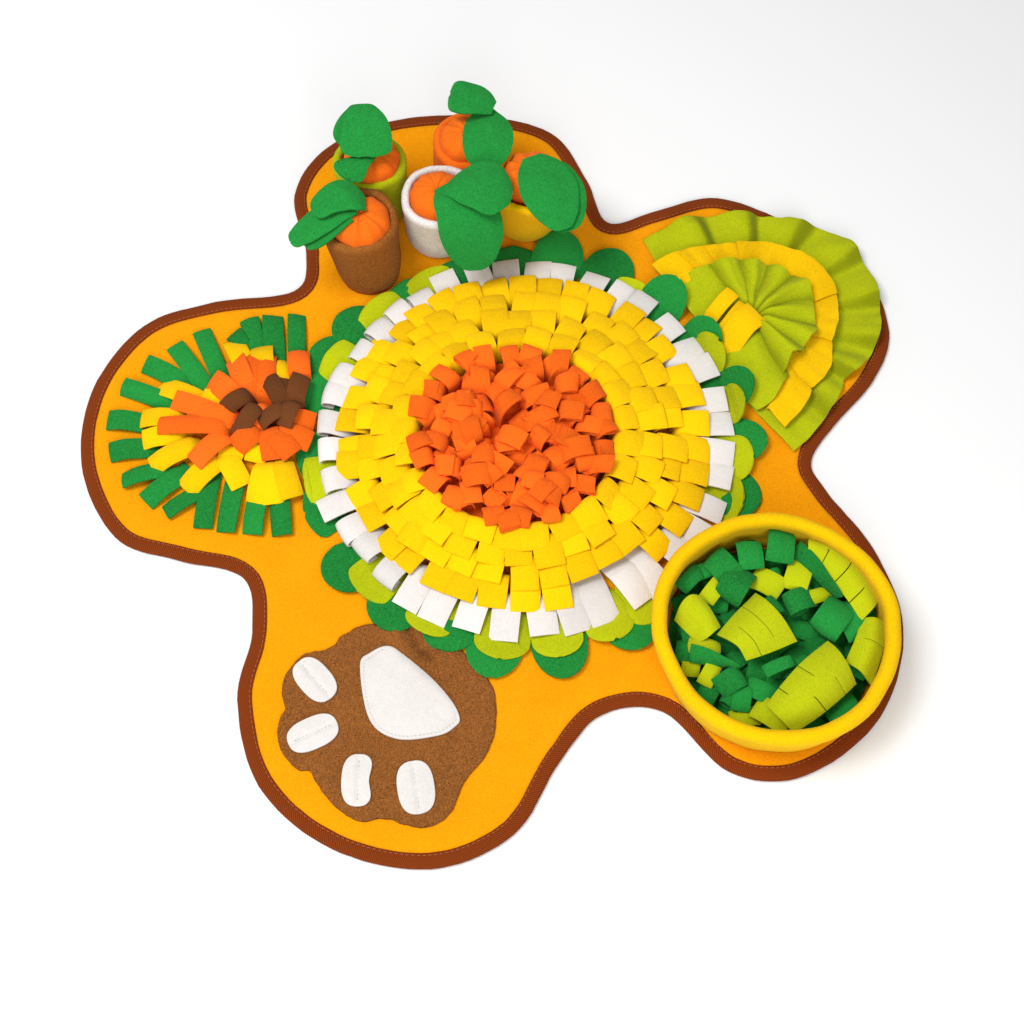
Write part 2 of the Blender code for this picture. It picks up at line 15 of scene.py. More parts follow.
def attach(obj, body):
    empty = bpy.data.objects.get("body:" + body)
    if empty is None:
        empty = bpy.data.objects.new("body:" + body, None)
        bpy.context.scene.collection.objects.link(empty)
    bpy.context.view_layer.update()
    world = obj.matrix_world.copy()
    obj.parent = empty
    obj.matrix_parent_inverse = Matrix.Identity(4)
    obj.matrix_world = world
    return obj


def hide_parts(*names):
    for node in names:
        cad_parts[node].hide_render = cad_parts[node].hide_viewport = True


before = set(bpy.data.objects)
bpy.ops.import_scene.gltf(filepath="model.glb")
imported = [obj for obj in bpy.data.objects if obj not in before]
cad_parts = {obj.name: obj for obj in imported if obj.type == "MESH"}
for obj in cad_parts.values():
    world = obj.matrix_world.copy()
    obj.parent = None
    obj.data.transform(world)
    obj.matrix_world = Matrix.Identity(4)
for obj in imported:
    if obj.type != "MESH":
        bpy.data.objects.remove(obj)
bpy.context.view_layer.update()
MM = 0.001

# ---- camera, light and floor ----
# The mat lies on a pale floor under wide soft lights, and is seen from the front, 65 degrees above level.
CAMERA_PLACE = (-0.0015, -0.6088, 1.1710)
CAMERA_TILT = 24.8
CAMERA_LENS = 50
CAMERA_SENSOR = 36
# name, place, size, watts
SOFT_BOXES = (("Key", (-0.75, -0.1, 1.85), 0.8, 28.0), ("Fill", (0.25, -1.6, 1.3), 1.2, 19.0))
ROOM_LIGHT = 0.44
FLOOR_SIZE = 8
FLOOR_DROP = 0.0004
FLOOR_GREY = 0.86

scene = bpy.context.scene
scene.view_settings.view_transform = "Standard"
camera = bpy.data.objects.new("Camera", bpy.data.cameras.new("Camera"))
camera.location = CAMERA_PLACE
camera.rotation_euler = (math.radians(CAMERA_TILT), 0, 0)
camera.data.lens = CAMERA_LENS
camera.data.sensor_width = CAMERA_SENSOR
scene.collection.objects.link(camera)
scene.camera = camera

world = bpy.data.worlds.new("Studio")
world.use_nodes = True
world.node_tree.nodes["Background"].inputs["Color"].default_value = (1, 1, 1, 1)
world.node_tree.nodes["Background"].inputs["Strength"].default_value = ROOM_LIGHT
scene.world = world
for name, place, size, watts in SOFT_BOXES:
    light = bpy.data.objects.new(name, bpy.data.lights.new(name, "AREA"))
    light.data.size = size
    light.data.energy = watts
    light.location = place
    light.rotation_euler = Vector(place).to_track_quat("Z", "Y").to_euler()
    scene.collection.objects.link(light)


def new_material(name, roughness, specular=0.5, sheen=0.0, sheen_roughness=0.5):
    """A material without its colour, and its nodes, links and shader."""
    material = bpy.data.materials.new(name)
    material.use_nodes = True
    nodes, links = material.node_tree.nodes, material.node_tree.links
    shader = nodes["Principled BSDF"]
    shader.inputs["Roughness"].default_value = roughness
    shader.inputs["Specular IOR Level"].default_value = specular
    shader.inputs["Sheen Weight"].default_value = sheen
    shader.inputs["Sheen Roughness"].default_value = sheen_roughness
    return material, nodes, links, shader


bpy.ops.mesh.primitive_plane_add(size=FLOOR_SIZE, location=(0, 0, -FLOOR_DROP))
floor = bpy.context.active_object
floor.name = "Floor"
paper, _, _, paper_shader = new_material("Pale paper", 0.8)
paper_shader.inputs["Base Color"].default_value = (FLOOR_GREY, FLOOR_GREY, FLOOR_GREY, 1)
floor.data.materials.append(paper)

# ---- the mat's panel ----
# Amber fleece on a thin wadding, cut to five lobes. It lies flat, slightly puckered along the tape that
# binds it.

# x, y anticlockwise, a row for each lobe: ruffles, pots, oval flower, paw, bowl
LOBE_EDGES = (
    ((274, -18), (297, 18), (340, 68), (361, 122), (343, 190), (278, 246), (205, 279), (140, 262)),
    ((94, 249), (74, 302), (38, 362), (-40, 384), (-127, 377), (-192, 342), (-221, 283), (-205, 212)),
    ((-214, 168), (-291, 155), (-356, 128), (-396, 60), (-397, -22), (-358, -94), (-300, -116)),
    ((-240, -133), (-228, -185), (-236, -245), (-212, -320), (-150, -371), (-68, -388), (0, -360),
     (38, -300)),
    ((74, -259), (127, -256), (180, -308), (243, -311), (311, -261), (340, -181), (322, -106),
     (286, -50)),
)
EDGE_STEPS = 9
PANEL_TOP = 4.0
PANEL_UNEVEN = 0.25
TOP = 4.3  # where a piece sewn on the panel starts
TAPE_WIDTH = 12.5
AMBER = (0.93, 0.325, 0.002)
NAP_STRENGTH = 0.6


def closed_line(points, steps):
    """Places and outward directions along a smooth closed line through the points, given anticlockwise."""
    p1 = np.array(points, float)
    p0, p2, p3 = (np.roll(p1, shift, axis=0) for shift in (1, -1, -2))
    t = (np.arange(steps) / steps)[None, :, None]
    a = (p2 - p0)[:, None]
    b = (2 * p0 - 5 * p1 + 4 * p2 - p3)[:, None]
    c = (3 * p1 - p0 - 3 * p2 + p3)[:, None]
    place = 0.5 * (2 * p1[:, None] + a * t + b * t**2 + c * t**3)
    along = (a + 2 * b * t + 3 * c * t**2).reshape(-1, 2)
    outward = np.stack([along[:, 1], -along[:, 0]], axis=1)
    return place.reshape(-1, 2), outward / np.linalg.norm(outward, axis=1, keepdims=True)


def colour_by(nodes, links, shader, colour, factor, dark, light):
    """Gives the shader a colour that goes from its darker to its lighter tone with the factor."""
    mix = nodes.new("ShaderNodeMix")
    mix.data_type = "RGBA"
    links.new(factor, mix.inputs["Factor"])
    mix.inputs[6].default_value = (*[c * dark for c in colour], 1)
    mix.inputs[7].default_value = (*[min(1, c * light) for c in colour], 1)
    links.new(mix.outputs[2], shader.inputs["Base Color"])


def raised_normal(nodes, links, height, depth, strength, below=None):
    """The normal of a relief so many millimetres deep, laid over the one below it."""
    bump = nodes.new("ShaderNodeBump")
    bump.inputs["Strength"].default_value = strength
    bump.inputs["Distance"].default_value = depth * MM
    links.new(height, bump.inputs["Height"])
    if below:
        links.new(below, bump.inputs["Normal"])
    return bump.outputs["Normal"]


def fleece(name, colour, grain=1.0, flecks=0.0, swell=0.0):
    """Napped knit: fibres felted into fine grains, soft uneven tone, and each cut piece's own tone. Through
    that tone a piece also takes painted shade in creases and under tufts, and painted light on ridges and
    on the lime in the bowl.

    grain scales the nap's relief, flecks turns it into short curly fibres, and swell adds broad waves."""
    material, nodes, links, shader = new_material(name, 0.95, 0.03, 0.025, 0.6)
    place = nodes.new("ShaderNodeTexCoord").outputs["Object"]

    def cloud(scale, detail, distortion=0.0):
        """A soft uneven value over the piece."""
        texture = nodes.new("ShaderNodeTexNoise")
        texture.inputs["Scale"].default_value = scale
        texture.inputs["Detail"].default_value = detail
        texture.inputs["Roughness"].default_value = 0.6
        texture.inputs["Distortion"].default_value = distortion
        links.new(place, texture.inputs["Vector"])
        return texture.outputs["Fac"]

    def weighted(value, weight, base):
        """The value times its weight, added to the base."""
        step = nodes.new("ShaderNodeMath")
        step.operation = "MULTIPLY_ADD"
        links.new(value, step.inputs[0])
        step.inputs[1].default_value = weight
        if isinstance(base, float):
            step.inputs[2].default_value = base
        else:
            links.new(base, step.inputs[2])
        return step.outputs[0]

    nap_and_crease_shade = cloud(760 - 320 * flecks, 3, 0.8 + 2.4 * flecks)
    pile = cloud(170, 2)
    broad = cloud(22, 2)
    tone_and_shade = nodes.new("ShaderNodeAttribute")
    tone_and_shade.attribute_name = "tone_and_shade"
    fibres = 1.4 * grain + 2.3 * flecks
    shade = weighted(nap_and_crease_shade, fibres, 0.5 - 0.19 * flecks - 0.5 * fibres)
    shade = weighted(pile, 0.18, shade)
    shade = weighted(broad, 0.24, shade)
    # each piece's own tone, which also carries painted shade in creases and under tufts of strips, and
    # painted light on ridges and on the lime in the bowl
    shade = weighted(tone_and_shade.outputs["Fac"], 0.26, shade)
    colour_by(nodes, links, shader, colour, shade, 0.55 - 0.1 * flecks, 1.13 + 0.4 * flecks)
    normal = raised_normal(nodes, links, broad, 9.0 * swell, NAP_STRENGTH) if swell else None
    normal = raised_normal(nodes, links, pile, 0.35, NAP_STRENGTH, normal)
    normal = raised_normal(nodes, links, nap_and_crease_shade, 0.8 * grain, NAP_STRENGTH, normal)
    links.new(normal, shader.inputs["Normal"])
    return material


def add_piece(name, points, faces, material):
    """A piece of the mat as a mesh object, its points in millimetres."""
    mesh = bpy.data.meshes.new(name)
    mesh.from_pydata((np.asarray(points) * MM).tolist(), [], [tuple(face) for face in faces])
    mesh.shade_smooth()
    mesh.materials.append(material)
    piece = bpy.data.objects.new(name, mesh)
    scene.collection.objects.link(piece)
    return piece


def lofted(rings, first_cap, last_cap):
    """Points and faces of a skin over rings of as many points each; a cap is 'flat', 'point' or None."""
    rings = [np.asarray(ring, float) for ring in rings]
    count = len(rings[0])
    points = np.concatenate(rings)
    here = np.arange(count)
    there = np.roll(here, -1)
    faces = []
    for level in range(len(rings) - 1):
        low, high = level * count, (level + 1) * count
        faces += np.stack([low + here, low + there, high + there, high + here], axis=1).tolist()
    for cap, start, turn in ((first_cap, 0, -1), (last_cap, len(rings) * count - count, 1)):
        if cap == "flat":
            faces.append((start + here)[::turn].tolist())
        if cap == "point":
            faces += [(start + i, start + j, len(points))[::turn] for i, j in zip(here, there)]
            points = np.vstack([points, rings[0 if start == 0 else -1].mean(axis=0)])
    if first_cap is None and last_cap is None:
        low = (len(rings) - 1) * count
        faces += np.stack([low + here, low + there, there, here], axis=1).tolist()
    return points, faces


def sew_on(piece, nodes):
    """The piece belongs to the mat's one body and stands for these solids."""
    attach(piece, "root")
    if nodes:
        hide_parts(*nodes)


def rolling(x, y, size, seed):
    """A smooth uneven value between -1 and 1 over the plan."""
    return noise.noise(Vector((x / size, y / size, seed)))


edge, outward = closed_line([point for row in LOBE_EDGES for point in row], EDGE_STEPS)
# inset from the edge and height, from the backing round the cut edge and on to the top
PANEL_FOLD = (
    (12.8, 0), (12.8, 1.3), (1.3, 1.3), (1.3, 3.1), (12.8, 3.1), (13.4, 3.8), (15.5, 4.1), (20, 4.2),
    (27, 4.1),
)
PANEL_SHARES = [share / 40 for share in range(39, 1, -1)]
# Soft creases of the mat: one end, the other end, width and height, less than nothing for a trough
PANEL_CREASES = (
    ((52, 246), (128, 236), 7, 2.6), ((60, 262), (110, 262), 9, -1.8), ((-196, 152), (-170, 205), 8, 2.2),
    ((-232, 168), (-190, 150), 7, -1.6), ((-352, 118), (-330, 92), 7, 1.8),
    ((-372, 84), (-350, 62), 8, -1.6), ((-338, -98), (-300, -108), 8, 1.8),
    ((-262, -128), (-236, -170), 8, -1.8), ((-246, -190), (-214, -196), 7, 1.8),
    ((96, -262), (112, -206), 8, 2.4), ((118, -286), (150, -296), 7, 2.2),
    ((104, -300), (136, -318), 7, -1.8), ((10, -262), (30, -306), 10, 1.8),
    ((322, -96), (350, -70), 8, 1.8), ((-8, 330), (22, 300), 9, 1.8),
)


def valley(x, y, start, end, width):
    """One on the line from start to end, fading to nothing at width from it."""
    a, b, p = np.array(start, float), np.array(end, float), np.array((x, y), float)
    share = np.clip(np.dot(p - a, b - a) / np.dot(b - a, b - a), 0, 1)
    return math.exp(-(np.linalg.norm(p - a - (b - a) * share) / width) ** 2)


rings = [np.column_stack([edge - outward * inset, np.full(len(edge), float(z))]) for inset, z in PANEL_FOLD]
for ring in rings[-4:]:
    ring[:, 2] += [PANEL_UNEVEN * rolling(x, y, 9, 1) for x, y, _ in ring]
last = rings[-1].copy()
for share in PANEL_SHARES:
    ring = last * share
    ring[:, 2] = [PANEL_TOP + PANEL_UNEVEN * rolling(x, y, 50, 2)
                  + sum(rise * valley(x, y, start, end, width) for start, end, width, rise in PANEL_CREASES)
                  for x, y, _ in ring]
    rings.append(ring)
panel = add_piece("fleece_panel", *lofted(rings, "flat", "point"), fleece("Amber fleece", AMBER, swell=0.3))
sew_on(panel, ["mat_panel"])
# how far below and above its level cloth takes painted shade and painted light, in millimetres
PAINTED_SHADE_LIMITS = (-1.9, 0.3)


def paint_shade_by_height(piece, level, gain):
    """Paints shade into cloth laid flat in the valleys of its creases, and light on its ridges, by height:
    painted shade and painted light in its tone.
    """
    tone_and_shade = piece.data.attributes.new("tone_and_shade", "FLOAT", "POINT")
    heights = [point.co.z / MM - level for point in piece.data.vertices]
    tone_and_shade.data.foreach_set("value", gain * np.clip(heights, *PAINTED_SHADE_LIMITS))


# painted shade in the panel's troughs and painted light on its ridges
paint_shade_by_height(panel, PANEL_TOP, 0.6)


def plan_area(ring):
    """Area inside a closed line, in square metres."""
    x, y = ring[:, 0], ring[:, 1]
    return abs(np.dot(x, np.roll(y, -1)) - np.dot(y, np.roll(x, -1))) / 2 * MM * MM


# ---- the binding ----
# A brown twilled tape folded over the panel's edge and sewn through with one row of small stitches.
TAPE_BROWN = (0.215, 0.037, 0.003)
THREAD_BROWN = (0.36, 0.09, 0.02)
TAPE_SECTION = (
    (12.5, 3.3), (12.6, 4.2), (11.2, 4.7), (6.5, 4.9), (2.2, 4.6), (0.4, 3.6), (0.0, 2.3), (0.3, 1.1),
    (1.8, 0.1), (6.5, 0.0), (12.5, 0.0), (12.5, 1.0), (6.5, 1.0), (1.5, 1.2), (1.0, 2.2), (1.5, 3.2),
    (6.5, 3.5),
)
TWILL_PITCH = 1.7
TWILL_SLANT = 38
WAVE_PERIOD = 0.314  # distance between the ribs at a scale of one
SEAM_INSET = TAPE_WIDTH - 1.6
SEAM_LEVEL = 4.95
TAPE_STITCH = (4.6, 3.2, 0.42)  # pitch, length, radius


def running_total(steps):
    """The sum of the steps up to each place, from nothing."""
    return np.concatenate([[0], np.cumsum(steps)])


def lengths_along(line):
    """The length of a line up to each of its points."""
    return running_total(np.linalg.norm(np.diff(line, axis=0), axis=1))


def tape_lift(x, y):
    """How far the tape stands off its level, because it is slightly puckered."""
    return 0.3 * rolling(x, y, 11, 3)


run = lengths_along(np.vstack([edge, edge[:1]]))
tape_rings = []
for inset, z in TAPE_SECTION:
    ring = np.column_stack([edge - outward * inset, np.full(len(edge), z)])
    if z > 2:
        ring[:, 2] += [tape_lift(x, y) for x, y, _ in ring]
        ring[:, :2] += outward * np.array([[0.6 * rolling(x, y, 16, 4)] for x, y, _ in ring])
    tape_rings.append(ring)


def tape_twill():
    """Woven tape: fine slanting ribs that follow it all the way round."""
    material, nodes, links, shader = new_material("Brown tape", 0.8, 0.1, 0.02)
    weave = nodes.new("ShaderNodeUVMap")
    weave.uv_map = "Tape"
    slant = nodes.new("ShaderNodeMapping")
    slant.inputs["Rotation"].default_value = (0, 0, math.radians(TWILL_SLANT))
    links.new(weave.outputs["UV"], slant.inputs["Vector"])
    ribs = nodes.new("ShaderNodeTexWave")
    ribs.inputs["Scale"].default_value = WAVE_PERIOD / (TWILL_PITCH * MM)
    ribs.inputs["Distortion"].default_value = 0.6
    ribs.inputs["Detail"].default_value = 1
    ribs.inputs["Detail Scale"].default_value = 2
    links.new(slant.outputs["Vector"], ribs.inputs["Vector"])
    colour_by(nodes, links, shader, TAPE_BROWN, ribs.outputs["Fac"], 0.62, 1.3)
    links.new(raised_normal(nodes, links, ribs.outputs["Fac"], 0.5, 0.8), shader.inputs["Normal"])
    return material


tape = add_piece("edge_tape", *lofted(tape_rings, None, None), tape_twill())
across = lengths_along(np.array(TAPE_SECTION + TAPE_SECTION[:1]))
laid = tape.data.uv_layers.new(name="Tape").data
count = len(edge)
for polygon in tape.data.polygons:
    level, step = divmod(polygon.index, count)
    corners = ((step, level), (step + 1, level), (step + 1, level + 1), (step, level + 1))
    for corner, (i, j) in zip(polygon.loop_indices, corners):
        laid[corner].uv = (run[i] * MM, across[j] * MM)
sew_on(tape, ["edge_binding"])


def thread(name, colour):
    """Plain sewing thread."""
    material, nodes, links, shader = new_material(name, 0.6)
    twist = nodes.new("ShaderNodeTexNoise")
    twist.inputs["Scale"].default_value = 900
    links.new(nodes.new("ShaderNodeTexCoord").outputs["Object"], twist.inputs["Vector"])
    colour_by(nodes, links, shader, colour, twist.outputs["Fac"], 0.75, 1.2)
    return material


def turns(sides):
    """The angles of so many points evenly round a circle."""
    return np.arange(sides) * math.tau / sides


STITCH_SIDES = 6
STITCH_FORM = ((-0.5, 0.5, 0.9), (-0.25, 1.0, 0.2), (0.25, 1.0, 0.2), (0.5, 0.5, 0.9))  # place, size, dip


def stitch_row(name, line, pitch, length, radius, material):
    """Stitches of a sewing thread along a line of points: short capsules whose ends dip into the cloth."""
    line = np.asarray(line, float)
    total = lengths_along(line)
    middles = np.arange(pitch / 2, total[-1], pitch)
    points, faces = [], []
    for middle in middles:
        place = np.array([np.interp(middle, total, line[:, k]) for k in range(3)])
        ahead = np.array([np.interp(middle + 1, total, line[:, k]) for k in range(3)])
        along = ahead - place
        along /= np.linalg.norm(along) or 1
        side = np.cross((0, 0, 1), along)
        up = np.cross(along, side)
        rings = []
        for share, size, dip in STITCH_FORM:
            centre = place + along * share * length - up * dip * radius
            rings.append([centre + (side * math.cos(a) + up * math.sin(a)) * radius * size
                          for a in -turns(STITCH_SIDES)])
        shell, quads = lofted(rings, "flat", "flat")
        start = len(points)
        points += shell.tolist()
        faces += [[start + i for i in face][::-1] for face in quads]
    return add_piece(name, points, faces, material)


inner = edge - outward * SEAM_INSET
seam = np.column_stack([inner, [SEAM_LEVEL + tape_lift(x, y) for x, y in inner]])
tape_seam = stitch_row("tape_stitches", np.vstack([seam, seam[:1]]), *TAPE_STITCH,
                       thread("Brown thread", THREAD_BROWN))
sew_on(tape_seam, [])

# ---- the paw ----
# A brown fleece patch sewn flat, with a white pad sewn down on its round side only, so that a treat can be
# pushed under its straight side, and four white toes held by one line of stitches each.
PAW_PATCH = (
    (-134, -180), (-144, -186), (-151, -190), (-154, -196), (-164, -202), (-180, -205), (-189, -214),
    (-196, -226), (-198, -238), (-196, -247), (-194, -255), (-198, -264), (-199, -278), (-194, -292),
    (-187, -301), (-179, -307), (-170, -308), (-165, -316), (-157, -327), (-148, -337), (-134, -347),
    (-123, -350), (-113, -348), (-102, -348), (-91, -352), (-77, -355), (-66, -353), (-57, -348),
    (-50, -339), (-46, -329), (-42, -319), (-36, -310), (-25, -297), (-18, -282), (-15, -266), (-15, -250),
    (-18, -235), (-26, -222), (-40, -207), (-52, -195), (-70, -185), (-91, -178), (-112, -176),
)
PAW_PAD = (
    (-132, -217), (-124, -205), (-108, -199), (-92, -209), (-69, -229), (-52, -249), (-45.5, -263),
    (-49, -270), (-63, -278), (-98, -281), (-122, -264),
)
PAW_TOES = (
    ((-170, -229), 22, 14, -48, 0.0),
    ((-169, -276), 22, 14, 25, 0.0),
    ((-129, -316), 22, 14, 90, 0.35),
    ((-81, -322), 22.5, 15.5, 100, 0.0),
)
PATCH_THICK = 2.0
PATCH_BROWN = (0.245, 0.086, 0.019)
FLEECE_WHITE = (0.71, 0.67, 0.64)
THREAD_WHITE = (0.56, 0.53, 0.50)
PATCH_CREASE = ((-96, -178), (-84, -201), (-72, -209))
PATCH_RIDGE = ((-105, -183), (-92, -206))
PAD_OPEN_SIDE = ((-108, -199), (-50, -252))
PAD_SEAM_SHARE = 0.93
PAD_SEAM = (50, 14)  # the steps of the pad's edge at which its seam starts and ends
PAW_STITCH = (3.4, 2.5, 0.4)
TOE_STEPS = 48
TOE_SQUARENESS = 2.6
# shares of the way from a cut's middle to its edge, and what is left of its height at the outermost
CUT_SHARES = (
    1.0, 0.985, 0.965, 0.947, 0.93, 0.913, 0.89, 0.86, 0.83, 0.8, 0.77, 0.74, 0.7, 0.64, 0.56, 0.48, 0.38,
    0.24, 0.12,
)
EDGE_HEIGHTS = {1.0: 0.75, 0.985: 0.97}


def flat_cut(name, outline, low, relief, material):
    """A flat cut of cloth with rounded edges; relief gives how high its top stands over its underside."""
    outline = np.asarray(outline, float)
    middle = outline.mean(axis=0)
    rings = [np.column_stack([outline, np.full(len(outline), low)])]
    for share in CUT_SHARES:
        ring = middle + (outline - middle) * share
        top = [low + relief(x, y, share) * EDGE_HEIGHTS.get(share, 1.0) for x, y in ring]
        rings.append(np.column_stack([ring, top]))
    return add_piece(name, *lofted(rings, "flat", "point"), material)


def patch_relief(x, y, share):
    """Flat, with one crease and the ridge that it pushes up beside it."""
    dent = 1.8 * max(valley(x, y, *ends, 3.5) for ends in zip(PATCH_CREASE, PATCH_CREASE[1:]))
    dent -= 3.0 * valley(x, y, *PATCH_RIDGE, 6)
    return PATCH_THICK + 0.3 * rolling(x, y, 25, 5) - dent


patch_edge = closed_line(PAW_PATCH, 4)[0]
patch_edge = patch_edge + [[0.7 * rolling(x, y, 6, 6), 0.7 * rolling(x, y, 6, 7)] for x, y in patch_edge]
patch_fleece = fleece("Brown fleece", PATCH_BROWN, 1.6, 1.0)
patch = flat_cut("paw_patch_brown", patch_edge, TOP, patch_relief, patch_fleece)
sew_on(patch, ["paw_patch"])
# painted shade in the patch's crease and along its cut edge, and painted light on its ridge
paint_shade_by_height(patch, TOP + PATCH_THICK, 1.2)

ON_PATCH = TOP + PATCH_THICK + 0.35
white_fleece = fleece("White fleece", FLEECE_WHITE, 0.45)
pad_edge = closed_line(PAW_PAD, 8)[0]


def pad_relief(x, y, share):
    """Puffed in the middle, with a sewn groove inside its round edge that ends at the straight side."""
    puff = 4.5 * max(0.0, 1 - share * share) ** 0.8
    open_side = valley(x, y, *PAD_OPEN_SIDE, 9)
    groove = 0.8 * math.exp(-((share - PAD_SEAM_SHARE) / 0.022) ** 2) * (1 - open_side)
    return PATCH_THICK * 0.9 + puff + 1.6 * open_side - groove + 0.3 * rolling(x, y, 12, 8)


pad = flat_cut("paw_pad_white", pad_edge, ON_PATCH, pad_relief, white_fleece)
sew_on(pad, ["paw_pad"])

white_thread = thread("White thread", THREAD_WHITE)
pad_middle = pad_edge.mean(axis=0)
seam = [pad_middle + (point - pad_middle) * PAD_SEAM_SHARE for point in pad_edge]
seam = [(x, y, ON_PATCH + pad_relief(x, y, PAD_SEAM_SHARE) + 0.25)
        for x, y in seam[PAD_SEAM[0]:] + seam[:PAD_SEAM[1]]]
pad_seam = stitch_row("paw_pad_stitches", seam, *PAW_STITCH, white_thread)
sew_on(pad_seam, [])

for number, (centre, long, wide, degrees, notch) in enumerate(PAW_TOES, 1):
    turn = math.radians(degrees)
    axis = np.array((math.cos(turn), math.sin(turn)))
    outline = []
    for a in turns(TOE_STEPS):
        square = abs(math.cos(a)) ** TOE_SQUARENESS + abs(math.sin(a)) ** TOE_SQUARENESS
        round_out = square ** (-1 / TOE_SQUARENESS)
        bite = 1 - notch * max(0.0, -math.sin(a)) ** 6
        outline.append(np.array(centre) + axis * long * math.cos(a) * round_out
                       + axis[::-1] * (-1, 1) * wide * math.sin(a) * round_out * bite)
    start, end = np.array(centre) - axis * long * 0.94, np.array(centre) + axis * long * 0.94

    def toe_relief(x, y, share):
        """Slightly puffed, with a groove along its middle."""
        puff = PATCH_THICK + 1.1 * (1 - share**2)
        return puff - 1.3 * valley(x, y, start, end, 2.2) + 0.2 * rolling(x, y, 7, number)

    toe = flat_cut(f"paw_toe_white_{number}", outline, ON_PATCH, toe_relief, white_fleece)
    sew_on(toe, [f"paw_toe_{number}"])
    area = plan_area(np.array(outline))
    seam = [start + (end - start) * share for share in np.linspace(0.08, 0.92, 9)]
    seam = [(x, y, ON_PATCH + toe_relief(x, y, 0.0) - 0.1) for x, y in seam]
    toe_seam = stitch_row(f"paw_toe_stitches_{number}", seam, *PAW_STITCH, white_thread)
    sew_on(toe_seam, [])

# ---- leaves round the sunflower ----
# Dark green and lime leaves, cut from fleece and sewn in under the flower's white row, free at their tips.
# Those beside the ruffles lie up on them.
LEAF_CENTRE = (8, 2)
# angle, reach of the tip and, where a leaf is raised, the height of its tip
DARK_LEAVES = (
    (0, 225, 12), (15, 220, 32), (31, 215, 31), (48, 222, 29), (66, 231), (80, 236), (92, 214), (108, 210),
    (124, 208), (142, 222), (154, 222), (166, 214), (184, 208), (202, 210), (219, 224), (236, 222),
    (250, 216), (263, 231), (279, 233), (297, 228), (344, 224),
)
LIME_LEAVES = (
    (11, 208, 24), (27, 208, 29), (56, 207), (117, 207), (134, 208), (155, 206), (193, 203), (227, 209),
    (246, 209), (265, 214), (279, 214), (293, 212), (304, 213), (341, 209), (354, 212),
)
RAISED_SHARE = 0.92  # how much narrower a raised leaf is
FLOWER_EDGE = 197
FLEECE = 1.9
SEAM_ROOT = TOP + 0.8  # where a strip is sewn in
GREEN = (0.0155, 0.232, 0.038)
LIME = (0.435, 0.485, 0.006)


def smooth_line(points, shares):
    """Places at shares, 0 to 1, of a smooth open line through the points; shares may be a plain count."""
    points = np.array(points, float)
    if isinstance(shares, int):
        shares = np.linspace(0, 1, shares)
    ends = np.concatenate([[2 * points[0] - points[1]], points, [2 * points[-1] - points[-2]]])
    at = np.asarray(shares) * (len(points) - 1)
    i = np.minimum(at.astype(int), len(points) - 2)
    t = (at - i).reshape(-1, *[1] * (points.ndim - 1))
    p0, p1, p2, p3 = ends[i], ends[i + 1], ends[i + 2], ends[i + 3]
    a, b, c = p2 - p0, 2 * p0 - 5 * p1 + 4 * p2 - p3, 3 * p1 - p0 - 3 * p2 + p3
    return 0.5 * (2 * p1 + a * t + b * t**2 + c * t**3)


def bent_line(start, heading, pitches, length, count):
    """The middle line of a strip that leaves a place in a plan direction, in degrees, and keeps its length.

    pitches are pairs of a share of the length and the strip's slope there, in degrees above level."""
    shares = (np.arange(count - 1) + 0.5) / (count - 1)
    slope = np.radians(np.interp(shares, *zip(*pitches)))
    step = length / (count - 1)
    away, rise = running_total(np.cos(slope) * step), running_total(np.sin(slope) * step)
    plan = math.radians(heading)
    x, y = start[0] + away * math.cos(plan), start[1] + away * math.sin(plan)
    return np.column_stack([x, y, start[2] + rise])


def radial_line(centre, angle, yaw, profile, shares):
    """A smooth line over pairs of reach and height, out from a centre; yaw turns its outer part."""
    turn = math.radians(angle)
    root = np.array(centre) + profile[0][0] * np.array((math.cos(turn), math.sin(turn)))
    turn += math.radians(yaw)
    flat = smooth_line(profile, shares)
    away = flat[:, 0] - profile[0][0]
    x, y = root[0] + away * math.cos(turn), root[1] + away * math.sin(turn)
    return np.column_stack([x, y, flat[:, 1]])


def ribbon(line, across, widths, twist=(0, 0), cup=0.0, columns=5):
    """A cut strip as a grid of points: its middle line, the direction of its width in plan (degrees), its
    widths and its twist in degrees from root to tip, and how far its middle stands proud of its sides."""
    count = len(line)
    along = np.gradient(line, axis=0)
    along /= np.linalg.norm(along, axis=1, keepdims=True)
    plan = math.radians(across)
    side = np.tile((math.cos(plan), math.sin(plan), 0.0), (count, 1))
    side -= along * (along * side).sum(axis=1, keepdims=True)
    side /= np.linalg.norm(side, axis=1, keepdims=True)
    up = np.cross(along, side)
    turn = np.radians(np.linspace(*twist, count))[:, None]
    side, up = side * np.cos(turn) + up * np.sin(turn), up * np.cos(turn) - side * np.sin(turn)
    wide = np.interp(np.linspace(0, 1, count), np.linspace(0, 1, len(widths)), widths)[:, None, None]
    offset = np.linspace(-0.5, 0.5, columns)[None, :, None]
    return line[:, None] + side[:, None] * wide * offset + up[:, None] * cup * (1 - (2 * offset) ** 2)


